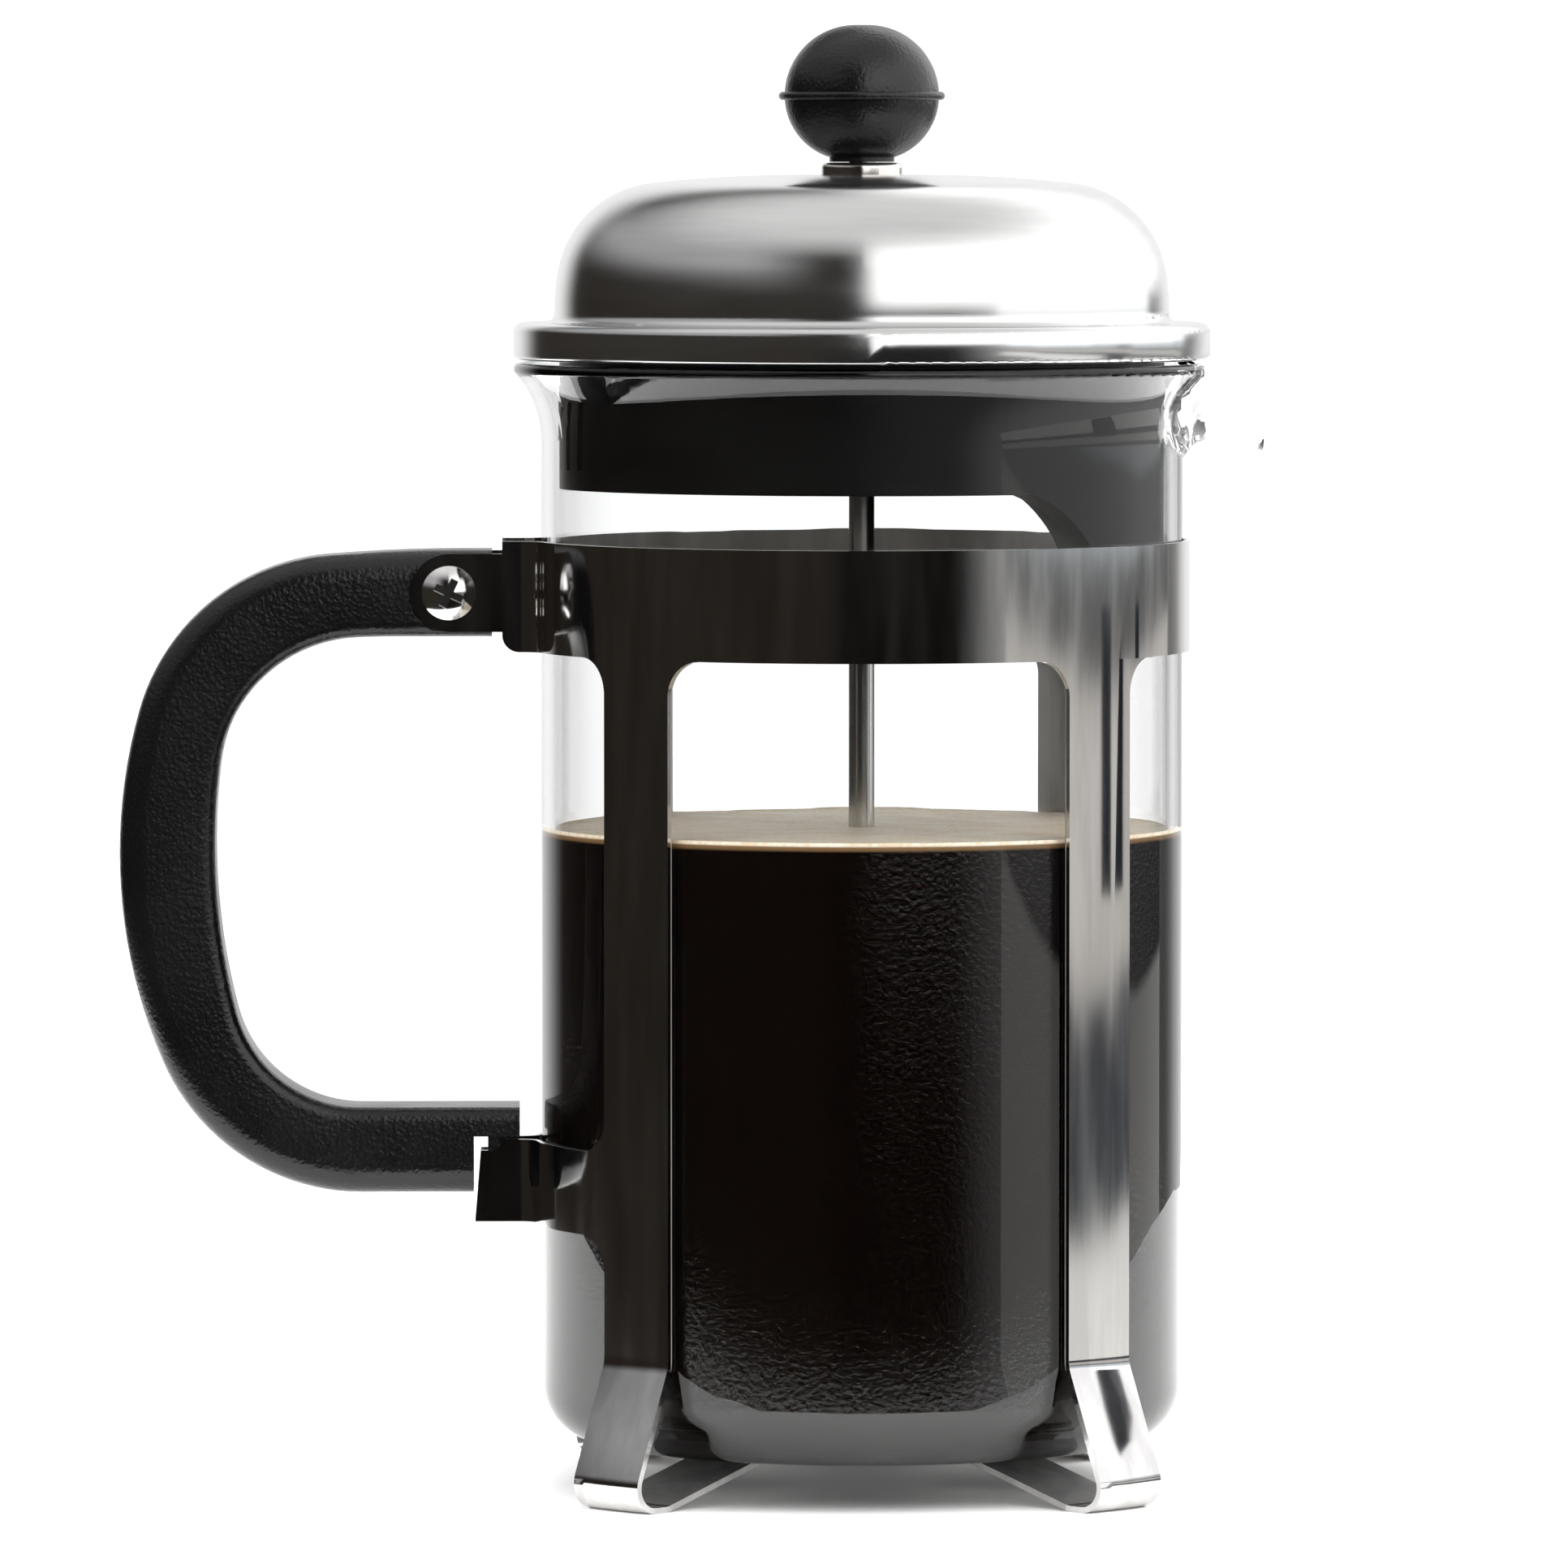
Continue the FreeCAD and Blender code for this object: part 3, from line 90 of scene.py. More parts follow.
# ---------------------------------------------------------------- shader graphs
class Graph:
    """Adds and joins the nodes of one material or world."""

    def __init__(self, owner: bpy.types.Material | bpy.types.World) -> None:
        """Empties the owner's node tree.

        Args:
            owner: The material or world that gets the nodes.
        """
        owner.use_nodes = True
        self.tree = owner.node_tree
        self.tree.nodes.clear()

    def add(self, kind: str, inputs: dict | None = None, **settings: object) -> bpy.types.Node:
        """Adds a node, and joins or sets its inputs.

        Args:
            kind: The node's type name.
            inputs: Input name or number to a socket to join or a value to set.
            settings: The node's own properties.

        Returns:
            The new node.
        """
        made = self.tree.nodes.new(kind)
        for name, value in settings.items():
            setattr(made, name, value)
        for key, value in (inputs or {}).items():
            if isinstance(value, bpy.types.NodeSocket):
                self.tree.links.new(value, made.inputs[key])
            else:
                made.inputs[key].default_value = value
        return made

    def place(self, scale: tuple[float, float, float] = (1.0, 1.0, 1.0)) -> bpy.types.NodeSocket:
        """Object coordinates, stretched.

        Args:
            scale: Factor along X, Y and Z.

        Returns:
            The vector socket.
        """
        where = self.add("ShaderNodeTexCoord").outputs["Object"]
        return self.add("ShaderNodeMapping", {"Vector": where, "Scale": scale}).outputs[0]

    def lathe(self, across: float, around: float) -> bpy.types.NodeSocket:
        """Coordinates for marks that run round the Z axis.

        Args:
            across: Marks per metre along the profile.
            around: How much the marks change in one turn.

        Returns:
            The vector socket.
        """
        where = self.add("ShaderNodeTexCoord").outputs["Object"]
        flat = self.add("ShaderNodeVectorMath", {0: where, 1: (1, 1, 0)}, operation="MULTIPLY")
        radius = self.add("ShaderNodeVectorMath", {0: flat.outputs[0]}, operation="LENGTH")
        heading = self.add("ShaderNodeVectorMath", {0: flat.outputs[0]}, operation="NORMALIZE")
        height = self.add("ShaderNodeSeparateXYZ", {0: where}).outputs[2]
        along = self.maths("SUBTRACT", height, radius.outputs["Value"])
        turn = self.add("ShaderNodeSeparateXYZ", {0: heading.outputs[0]})
        parts = {
            "X": self.maths("MULTIPLY", turn.outputs[0], around),
            "Y": self.maths("MULTIPLY", turn.outputs[1], around),
            "Z": self.maths("MULTIPLY", along, across),
        }
        return self.add("ShaderNodeCombineXYZ", parts).outputs[0]

    def maths(self, operation: str, first: object, second: object = 0.0) -> bpy.types.NodeSocket:
        """One sum on two values.

        Args:
            operation: The Math node's operation.
            first: A socket or number.
            second: A socket or number.

        Returns:
            The result's socket.
        """
        return self.add("ShaderNodeMath", {0: first, 1: second}, operation=operation).outputs[0]

    def noise(
        self, vector: bpy.types.NodeSocket, scale: float, detail: float = 2.0
    ) -> bpy.types.NodeSocket:
        """Soft noise from 0 to 1.

        Args:
            vector: Where the noise is read.
            scale: Blobs per metre.
            detail: Octaves.

        Returns:
            The factor socket.
        """
        inputs = {"Vector": vector, "Scale": scale, "Detail": detail}
        return self.add("ShaderNodeTexNoise", inputs).outputs[0]

    def ease(
        self, value: object, low: float, high: float, start: float = 0.0, end: float = 1.0
    ) -> bpy.types.NodeSocket:
        """A smooth step.

        Args:
            value: The socket to read.
            low: Where the step starts.
            high: Where it ends.
            start: Result below low.
            end: Result above high.

        Returns:
            The result's socket.
        """
        inputs = {"Value": value, "From Min": low, "From Max": high, "To Min": start, "To Max": end}
        return self.add("ShaderNodeMapRange", inputs, interpolation_type="SMOOTHSTEP").outputs[0]

    def blend(self, factor: object, first: object, second: object) -> bpy.types.NodeSocket:
        """A colour between two.

        Args:
            factor: 0 for the first colour, 1 for the second.
            first: A colour socket or RGB.
            second: A colour socket or RGB.

        Returns:
            The colour socket.
        """
        ends = [
            value if isinstance(value, bpy.types.NodeSocket) else (*value, 1.0)
            for value in (first, second)
        ]
        inputs = {0: factor, 6: ends[0], 7: ends[1]}
        return self.add("ShaderNodeMix", inputs, data_type="RGBA").outputs[2]

    def bump(
        self, height: object, depth: float, under: bpy.types.NodeSocket | None = None
    ) -> bpy.types.NodeSocket:
        """A bumped normal.

        Args:
            height: The height socket, 0 to 1.
            depth: Height of 1, in metres.
            under: Another bump's normal to build on.

        Returns:
            The normal socket.
        """
        inputs = {"Height": height, "Distance": depth, "Strength": 1.0}
        if under is not None:
            inputs["Normal"] = under
        return self.add("ShaderNodeBump", inputs).outputs[0]

    def finish(self, **inputs: object) -> None:
        """Adds the surface shader and joins it to the output.

        Args:
            inputs: Shader inputs, with underscores for spaces.
        """
        named = {key.replace("_", " "): value for key, value in inputs.items()}
        shader = self.add("ShaderNodeBsdfPrincipled", named)
        self.add("ShaderNodeOutputMaterial", {"Surface": shader.outputs[0]})


# --------------------------------------------------------------------- finishes
@dataclass(frozen=True)
class PolishedSteel:
    """Stainless sheet or bar with fine polishing lines."""

    name: str
    tint: Colour = (0.68, 0.67, 0.66)
    roughness: float = 0.13
    brushing: Brushing = Brushing.UPRIGHT
    line_depth: float = 0.0008 * MM
    wave_depth: float = 0.02 * MM
    wave_scale: float = 46.0
    smear: float = 0.25
    matte_inside: float = 0.0

    def material(self) -> bpy.types.Material:
        """Builds the material.

        Returns:
            Steel whose lines, smears and slight waves follow its brushing.
        """
        made = bpy.data.materials.new(self.name)
        graph = Graph(made)
        if self.brushing is Brushing.UPRIGHT:
            lines = graph.noise(graph.place((1.0, 1.0, 0.02)), 9000.0, 3.0)
            smear = graph.noise(graph.place((1.0, 1.0, 0.12)), 260.0, 4.0)
        else:
            lines = graph.noise(graph.lathe(9000.0, 6.0), 1.0, 3.0)
            smear = graph.noise(graph.lathe(240.0, 1.6), 1.0, 4.0)
        wave = graph.noise(graph.place((1.0, 1.0, 0.7)), self.wave_scale, 0.0)
        dark = tuple(channel * (1.0 - self.smear * 0.5) for channel in self.tint)
        bright = tuple(min(1.0, channel * (1.0 + self.smear * 0.4)) for channel in self.tint)
        normal = graph.bump(lines, self.line_depth, graph.bump(wave, self.wave_depth))
        smooth = self.roughness * (1.0 - self.smear)
        rough = self.roughness * (1.0 + self.smear)
        shine = graph.ease(smear, 0.25, 0.75, smooth, rough)
        if self.matte_inside:
            shine = graph.maths("MAXIMUM", shine, self.inside(graph))
        graph.finish(
            Base_Color=graph.blend(graph.ease(smear, 0.3, 0.7), dark, bright),
            Metallic=1.0,
            Roughness=shine,
            Normal=normal,
        )
        return made

    def inside(self, graph: Graph) -> bpy.types.NodeSocket:
        """Marks the faces that are nearer the axis than the given radius.

        Args:
            graph: The material's graph.

        Returns:
            The roughness there, and none outside it.
        """
        parts = graph.add("ShaderNodeSeparateXYZ", {0: graph.place()})
        squares = [graph.maths("MULTIPLY", part, part) for part in parts.outputs[:2]]
        radius = graph.maths("SQRT", graph.maths("ADD", *squares))
        return graph.ease(radius, self.matte_inside, self.matte_inside + 0.1 * MM, 0.6, 0.0)


@dataclass(frozen=True)
class GrainedPlastic:
    """Black moulded plastic with a fine leather grain and a satin sheen."""

    name: str
    tint: Colour = (0.0016, 0.0016, 0.002)
    roughness: float = 0.26
    grain_scale: float = 1500.0
    grain_depth: float = 0.055 * MM
    warp: float = 0.9 * MM

    def material(self) -> bpy.types.Material:
        """Builds the material.

        Returns:
            Plastic with cell grain, pits and rubbed patches.
        """
        made = bpy.data.materials.new(self.name)
        graph = Graph(made)
        where = graph.place()
        bend = {"Vector": where, "Scale": self.grain_scale * 0.6, "Detail": 2.0}
        bent = graph.add("ShaderNodeTexNoise", bend)
        reach = {0: bent.outputs[1], 1: (self.warp,) * 3}
        moved = graph.add("ShaderNodeVectorMath", reach, operation="MULTIPLY")
        warped = graph.add("ShaderNodeVectorMath", {0: where, 1: moved.outputs[0]}, operation="ADD")
        cells = graph.add(
            "ShaderNodeTexVoronoi",
            {"Vector": warped.outputs[0], "Scale": self.grain_scale, "Smoothness": 0.6},
            feature="SMOOTH_F1",
        ).outputs["Distance"]
        pits = graph.noise(where, self.grain_scale * 1.6, 3.0)
        rubbed = graph.noise(where, 60.0, 3.0)
        grain = graph.bump(cells, self.grain_depth, graph.bump(pits, self.grain_depth * 0.4))
        bright = tuple(channel * 1.9 for channel in self.tint)
        graph.finish(
            Base_Color=graph.blend(graph.ease(pits, 0.35, 0.75), self.tint, bright),
            Roughness=graph.ease(rubbed, 0.3, 0.7, self.roughness * 0.85, self.roughness * 1.2),
            Specular_IOR_Level=0.5,
            Normal=grain,
        )
        return made


@dataclass(frozen=True)
class SmoothPlastic:
    """Black moulded plastic with a plain, slightly soft surface."""

    name: str
    tint: Colour = (0.0012, 0.0012, 0.0012)
    roughness: float = 0.4

    def material(self) -> bpy.types.Material:
        """Builds the material.

        Returns:
            Plastic with faint flow marks and fine scuffs.
        """
        made = bpy.data.materials.new(self.name)
        graph = Graph(made)
        flow = graph.noise(graph.lathe(160.0, 3.0), 1.0, 3.0)
        scuff = graph.noise(graph.place(), 2400.0, 2.0)
        bright = tuple(channel * 2.0 for channel in self.tint)
        graph.finish(
            Base_Color=graph.blend(graph.ease(flow, 0.35, 0.7), self.tint, bright),
            Roughness=graph.ease(flow, 0.3, 0.7, self.roughness * 0.9, self.roughness * 1.15),
            Specular_IOR_Level=0.3,
            Normal=graph.bump(scuff, 0.01 * MM),
        )
        return made


@dataclass(frozen=True)
class ClearGlass:
    """Borosilicate glass with the faint waves of blown and pressed ware."""

    name: str
    tint: Colour = (0.996, 1.0, 0.998)

    def material(self) -> bpy.types.Material:
        """Builds the material.

        Returns:
            Clear glass with slight waves and a trace of dust in its gloss.
        """
        made = bpy.data.materials.new(self.name)
        graph = Graph(made)
        wave = graph.noise(graph.place((1.0, 1.0, 0.35)), 60.0, 1.0)
        dust = graph.noise(graph.place(), 420.0, 4.0)
        graph.finish(
            Base_Color=(*self.tint, 1.0),
            Roughness=graph.ease(dust, 0.55, 0.9, 0.0, 0.03),
            IOR=1.47,
            Transmission_Weight=1.0,
            Normal=graph.bump(wave, 0.012 * MM),
        )
        return made


@dataclass(frozen=True)
class BlackCoffee:
    """Brewed coffee, nearly black through the glass, with a tan foam on top."""

    name: str
    level: float
    liquid: Colour = (0.0035, 0.0016, 0.001)
    foam_edge: Colour = (0.2, 0.115, 0.05)
    foam_pale: Colour = (0.98, 0.9, 0.76)
    foam_dark: Colour = (0.86, 0.68, 0.46)

    def material(self) -> bpy.types.Material:
        """Builds the material.

        Returns:
            Black liquid that turns to orange and to grained foam at its level.
        """
        made = bpy.data.materials.new(self.name)
        graph = Graph(made)
        height = graph.add("ShaderNodeSeparateXYZ", {0: graph.place()}).outputs[2]
        grain = graph.noise(graph.place(), 1300.0, 5.0)
        patches = graph.noise(graph.place(), 140.0, 4.0)
        fine = graph.maths("MULTIPLY", grain, 0.6)
        coarse = graph.maths("MULTIPLY", patches, 0.4)
        mottle = graph.maths("ADD", fine, coarse)
        foam = graph.blend(graph.ease(mottle, 0.36, 0.62), self.foam_dark, self.foam_pale)
        rim = graph.ease(height, self.level - 1.5 * MM, self.level - 0.9 * MM)
        top = graph.ease(height, self.level - 0.75 * MM, self.level - 0.35 * MM)
        side = graph.blend(rim, self.liquid, self.foam_edge)
        graph.finish(
            Base_Color=graph.blend(top, side, foam),
            Roughness=graph.ease(top, 0.0, 1.0, 0.08, 0.55),
            Normal=graph.bump(grain, 0.05 * MM),
        )
        return made


@dataclass(frozen=True)
class WovenScreen:
    """Fine plain-weave steel screen."""

    name: str
    tint: Colour = (0.55, 0.55, 0.54)
    pitch: float = 0.42 * MM

    def material(self) -> bpy.types.Material:
        """Builds the material.

        Returns:
            Steel with crossing wires, and painted shade in the gaps between them.
        """
        made = bpy.data.materials.new(self.name)
        graph = Graph(made)
        parts = graph.add("ShaderNodeSeparateXYZ", {0: graph.place()})
        rate = math.tau / self.pitch
        across = graph.maths("SINE", graph.maths("MULTIPLY", parts.outputs[0], rate))
        sideways = graph.maths("ADD", parts.outputs[1], parts.outputs[2])
        along = graph.maths("SINE", graph.maths("MULTIPLY", sideways, rate))
        wires = graph.maths("MAXIMUM", across, along)
        weave = graph.ease(wires, -0.4, 0.8)
        # dark is painted shade for the gaps between the wires, where a real screen is open and
        # shaded; the weave share puts it between the wires.
        dark = tuple(channel * 0.12 for channel in self.tint)
        graph.finish(
            Base_Color=graph.blend(weave, dark, self.tint),
            Metallic=1.0,
            Roughness=graph.ease(weave, 0.0, 1.0, 0.6, 0.32),
            Normal=graph.bump(wires, 0.12 * MM),
        )
        return made


@dataclass(frozen=True)
class StudioFloor:
    """Pale seamless paper."""

    name: str
    tint: Colour = (0.93, 0.93, 0.925)

    def material(self) -> bpy.types.Material:
        """Builds the material.

        Returns:
            Matte paper with a barely visible tooth.
        """
        made = bpy.data.materials.new(self.name)
        graph = Graph(made)
        tooth = graph.noise(graph.place(), 700.0, 3.0)
        shade = tuple(channel * 0.985 for channel in self.tint)
        graph.finish(
            Base_Color=graph.blend(tooth, shade, self.tint),
            Roughness=0.85,
            Specular_IOR_Level=0.1,
            Normal=graph.bump(tooth, 0.02 * MM),
        )
        return made


# ----------------------------------------------------------------- piece makers
def shown(name: str, mesh: bpy.types.Mesh, body: Body) -> bpy.types.Object:
    """Puts a mesh in the scene as a piece that rides on a body.

    Args:
        name: The piece's name.
        mesh: Its mesh, in the row frame.
        body: What it rides on.

    Returns:
        The piece's object.
    """
    piece = bpy.data.objects.new(name, mesh)
    bpy.context.scene.collection.objects.link(piece)
    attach(piece, body.value)
    LOG.info("%s on %s: %d faces", name, body.value, len(mesh.polygons))
    return piece


def finished_copy(
    node: str, body: Body, sharp: float = 32.0, edge: float = 0.0
) -> bpy.types.Object:
    """Welds a copy of a CAD node's mesh and stands it in for the node.

    Args:
        node: The CAD node.
        body: The body that it belongs to.
        sharp: Edges that turn more than this many degrees stay crisp.
        edge: Rounding of the crisp edges, in metres.

    Returns:
        The new piece.
    """
    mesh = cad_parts[node].data.copy()
    mesh.name = node + "_finished"
    shaped = bmesh.new()
    shaped.from_mesh(mesh)
    bmesh.ops.remove_doubles(shaped, verts=shaped.verts, dist=WELD)
    if edge:
        bmesh.ops.dissolve_limit(
            shaped, angle_limit=FLAT_ANGLE, verts=shaped.verts, edges=shaped.edges
        )
    for face in shaped.faces:
        face.smooth = True
    shaped.to_mesh(mesh)
    shaped.free()
    if "custom_normal" in mesh.attributes:
        mesh.attributes.remove(mesh.attributes["custom_normal"])
    mesh.set_sharp_from_angle(angle=math.radians(sharp))
    mesh.materials.clear()
    piece = shown(node + "_finished", mesh, body)
    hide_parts(node)
    if edge:
        rounding = piece.modifiers.new("edge", "BEVEL")
        rounding.width = edge
        rounding.segments = 2
        rounding.limit_method = "ANGLE"
        rounding.angle_limit = math.radians(40.0)
        rounding.harden_normals = True
    return piece


def spun(name: str, outline: list[tuple[float, float]], segments: int = 128) -> bpy.types.Mesh:
    """Turns an outline about the Z axis into a closed mesh.

    Args:
        name: The mesh's name.
        outline: Radius and height of each point, from axis to axis, in metres.
        segments: Steps round the axis.

    Returns:
        The mesh.
    """
    shaped = bmesh.new()
    points = [shaped.verts.new((radius, 0.0, height)) for radius, height in outline]
    edges = [shaped.edges.new(pair) for pair in zip(points, points[1:])]
    bmesh.ops.spin(
        shaped,
        geom=points + edges,
        cent=(0, 0, 0),
        axis=(0, 0, 1),
        dvec=(0, 0, 0),
        angle=math.tau,
        steps=segments,
        use_merge=True,
        use_duplicate=False,
    )
    bmesh.ops.remove_doubles(shaped, verts=shaped.verts, dist=WELD)
    bmesh.ops.recalc_face_normals(shaped, faces=shaped.faces)
    for face in shaped.faces:
        face.smooth = True
    mesh = bpy.data.meshes.new(name)
    shaped.to_mesh(mesh)
    shaped.free()
    mesh.set_sharp_from_angle(angle=math.radians(40.0))
    return mesh


def arc_points(
    radius: float, height: float, bend: float, start: float, end: float, count: int
) -> list[tuple[float, float]]:
    """Points on an arc in the outline's plane.

    Args:
        radius: The arc's centre, out from the axis.
        height: The arc's centre, above the table.
        bend: The arc's own radius.
        start: First direction in degrees, from outward toward up.
        end: Last direction in degrees.
        count: How many points.

    Returns:
        Radius and height of each point.
    """
    turns = [math.radians(start + (end - start) * step / (count - 1)) for step in range(count)]
    return [(radius + bend * math.cos(turn), height + bend * math.sin(turn)) for turn in turns]


# ------------------------------------------------------------------ assemblies
class SubAssembly:
    """A named group of pieces: build makes the meshes, dress gives the finishes."""

    def __init__(self) -> None:
        """Starts with no pieces."""
        self.pieces: dict[str, bpy.types.Object] = {}

    def build(self) -> None:
        """Makes the group's own pieces."""

    def dress(self) -> None:
        """Gives every piece its finish."""

    def paint(self, finish: object, *names: str) -> None:
        """Gives pieces or CAD nodes one finish.

        Args:
            finish: Anything with a material method.
            names: Pieces of this group, or CAD nodes that stay.
        """
        material = finish.material()
        for name in names:
            piece = self.pieces.get(name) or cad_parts[name]
            piece.data.materials.clear()
            piece.data.materials.append(material)


@dataclass
class Stand(SubAssembly):
    """Steel frame, base plate, rivets, handle, screw and nut."""

    sheet_edge: float = 0.14 * MM

    def __post_init__(self) -> None:
        """Starts with no pieces."""
        super().__init__()

    def build(self) -> None:
        """Rounds the sheet's edges and smooths the handle and fasteners."""
        for node in ("frame_front", "frame_rear"):
            self.pieces[node] = finished_copy(node, Body.STAND, edge=self.sheet_edge)
        self.pieces["handle"] = finished_copy("handle", Body.STAND)
        for node in ("handle_screw", "handle_nut"):
            self.pieces[node] = finished_copy(node, Body.STAND, sharp=28.0)

    def dress(self) -> None:
        """Polished steel, grained plastic and bright zinc."""
        sheet = PolishedSteel(
            "frame_sheet",
            roughness=0.075,
            wave_depth=0.12 * MM,
            wave_scale=28.0,
            matte_inside=49.9 * MM,
        )
        self.paint(sheet, "frame_front", "frame_rear")
        self.paint(PolishedSteel("base_sheet", (0.56, 0.56, 0.56), 0.24), "base_plate")
        self.paint(PolishedSteel("rivet_head", (0.66, 0.66, 0.66), 0.2), "base_rivets")
        self.paint(GrainedPlastic("handle_grain"), "handle")
        zinc = PolishedSteel("screw_zinc", (0.8, 0.79, 0.78), 0.1)
        self.paint(zinc, "handle_screw", "handle_nut")


@dataclass
class Beaker(SubAssembly):
    """Glass beaker and the coffee in it."""

    wall: float = 2.0 * MM
    gap: float = -0.03 * MM
    base_corner: float = 7.0 * MM
    coffee_level: float = 102.0 * MM
    meniscus: float = 0.9 * MM
    lip_depth: float = 0.35 * MM
    beak_drop: float = 10.3 * MM
    beak_power: float = 1.75

    def __post_init__(self) -> None:
        """Starts with no pieces."""
        super().__init__()

    def coffee_outline(self) -> list[tuple[float, float]]:
        """Outline of the coffee, from the middle of the floor to the middle of the top.

        Returns:
            Radius and height of each point.
        """
        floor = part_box("glass_beaker")[0][2] + self.wall + self.gap
        radius = STRAIGHT_GLASS_RADIUS - self.wall - self.gap
        bend = self.base_corner - self.gap
        outline = [(0.0, floor), (radius * 0.5, floor)]
        outline += arc_points(radius - bend, floor + bend, bend, -90.0, 0.0, 12)
        outline += [(radius, self.coffee_level - 3.0 * self.meniscus)]
        outline += [(radius, self.coffee_level)]
        outline += [(radius - 0.3 * self.meniscus, self.coffee_level - 0.15 * self.meniscus)]
        outline += [(radius - self.meniscus, self.coffee_level - 0.3 * self.meniscus)]
        flat = self.coffee_level - 0.33 * self.meniscus
        outline += [(radius * share, flat) for share in (0.9, 0.6, 0.3, 0.0)]
        return outline

    def build(self) -> None:
        """Smooths the glass and fills it."""
        glass = finished_copy("glass_beaker", Body.BEAKER, sharp=50.0)
        self.pieces["glass"] = glass
        mesh = spun("coffee", self.coffee_outline(), 160)
        self.pieces["coffee"] = shown("coffee", mesh, Body.BEAKER)

    def dress(self) -> None:
        """Clear glass and black coffee."""
        self.paint(ClearGlass("beaker_glass_clear"), "glass")
        self.paint(BlackCoffee("coffee_black", self.coffee_level), "coffee")
        mesh = self.pieces["glass"].data
        # The lip and beak edge gets a darker green copy of the glass: partly the green the glass
        # shows edge-on, partly painted shade.
        mesh.materials.append(ClearGlass("beaker_glass_edge_shade", (0.5, 0.62, 0.58)).material())
        tip, _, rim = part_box("glass_beaker")[1]
        for face in mesh.polygons:
            face.material_index = int(self.on_cut_edge(face, tip, rim))

    def on_cut_edge(self, face: bpy.types.MeshPolygon, tip: float, rim: float) -> bool:
        """Tells the edge of the lip and beak, where the glass looks green and gets a darker tint
        that is partly the glass's own green and partly painted shade, from its walls.

        Args:
            face: A face of the glass.
            tip: How far out the beak reaches.
            rim: Height of the lip.

        Returns:
            Whether the face is on that edge.
        """
        out = max(0.0, (face.center.x - STRAIGHT_GLASS_RADIUS) / (tip - STRAIGHT_GLASS_RADIUS))
        edge = rim - self.beak_drop * out**self.beak_power
        return face.normal.z > 0.3 and face.center.z > edge - self.lip_depth


@dataclass
class Lid(SubAssembly):
    """Domed steel shell, its bush and nut, and the black liner under it."""

    def __post_init__(self) -> None:
        """Starts with no pieces."""
        super().__init__()

    def build(self) -> None:
        """Smooths the shell and the bush."""
        self.pieces["lid_shell"] = finished_copy("lid_shell", Body.LID, sharp=40.0)
        self.pieces["lid_bush"] = finished_copy("lid_bush", Body.LID)
        self.pieces["lid_liner"] = finished_copy("lid_liner", Body.LINER)

    def dress(self) -> None:
        """Steel polished round the axis, turned metal and black plastic."""
        spun_steel = PolishedSteel(
            "lid_spun",
            (0.74, 0.74, 0.735),
            0.17,
            Brushing.ROUND_AXIS,
            line_depth=0.0015 * MM,
            wave_depth=0.0,
            smear=0.1,
        )
        self.paint(spun_steel, "lid_shell")
        turned = PolishedSteel("bush_turned", (0.74, 0.71, 0.66), 0.14, Brushing.ROUND_AXIS)
        self.paint(turned, "lid_bush")
        self.paint(PolishedSteel("nut_zinc", (0.72, 0.72, 0.72), 0.2), "lid_nut")
        self.paint(SmoothPlastic("liner_plastic"), "lid_liner")


@dataclass
class Plunger(SubAssembly):
    """Rod, ball knob and its insert."""

    def __post_init__(self) -> None:
        """Starts with no pieces."""
        super().__init__()

    def build(self) -> None:
        """Smooths the knob and the rod."""
        self.pieces["knob"] = finished_copy("knob", Body.KNOB, sharp=40.0)
        self.pieces["plunger_rod"] = finished_copy("plunger_rod", Body.ROD, sharp=40.0)

    def dress(self) -> None:
        """Grained plastic, polished rod and brass."""
        self.paint(GrainedPlastic("knob_grain", roughness=0.3), "knob")
        rod = PolishedSteel("rod_polished", (0.62, 0.61, 0.6), 0.16, wave_depth=0.05 * MM)
        self.paint(rod, "plunger_rod")
        brass = PolishedSteel("insert_brass_turned", (0.78, 0.6, 0.3), 0.22, Brushing.ROUND_AXIS)
        self.paint(brass, "knob_insert")


@dataclass
class FilterStack(SubAssembly):
    """Spiral plate, edge spring, screen, cross plate and hub."""

    wire: float = 0.36 * MM
    turns: int = 150
    points_per_turn: int = 8

    def __post_init__(self) -> None:
        """Starts with no pieces."""
        super().__init__()

    def coil(self) -> bpy.types.Mesh:
        """The edge spring as one wire wound along a circle.

        Returns:
            The mesh of the wire.
        """
        low, high = (Vector(corner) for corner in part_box("edge_spring"))
        tube = (high.z - low.z) / 2
        circle = (high.x - low.x) / 2 - tube
        winding = tube - self.wire
        count = self.turns * self.points_per_turn
        path = bpy.data.curves.new("edge_spring_path", "CURVE")
        path.dimensions = "3D"
        path.bevel_depth = self.wire
        path.bevel_resolution = 1
        path.resolution_u = 1
        line = path.splines.new("POLY")
        line.points.add(count - 1)
        for index, point in enumerate(line.points):
            around = math.tau * index / count
            twist = around * self.turns
            reach = circle + winding * math.cos(twist)
            height = low.z + tube + winding * math.sin(twist)
            point.co = (reach * math.cos(around), reach * math.sin(around), height, 1.0)
        line.use_cyclic_u = True
        holder = bpy.data.objects.new("edge_spring_path", path)
        mesh = bpy.data.meshes.new_from_object(holder)
        bpy.data.objects.remove(holder)
        bpy.data.curves.remove(path)
        for face in mesh.polygons:
            face.use_smooth = True
        return mesh

    def build(self) -> None:
        """Winds the spring."""
        coil = shown("edge_spring_coil", self.coil(), Body.FILTER)
        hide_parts("edge_spring")
        self.pieces["edge_spring_coil"] = coil

    def dress(self) -> None:
        """Pressed steel, wire and screen."""
        pressed = PolishedSteel("filter_pressed", (0.6, 0.6, 0.6), 0.26)
        self.paint(pressed, "spiral_plate", "cross_plate", "cross_hub")
        self.paint(PolishedSteel("spring_wire", (0.58, 0.58, 0.6), 0.24), "edge_spring_coil")
        self.paint(WovenScreen("screen_weave"), "filter_mesh")


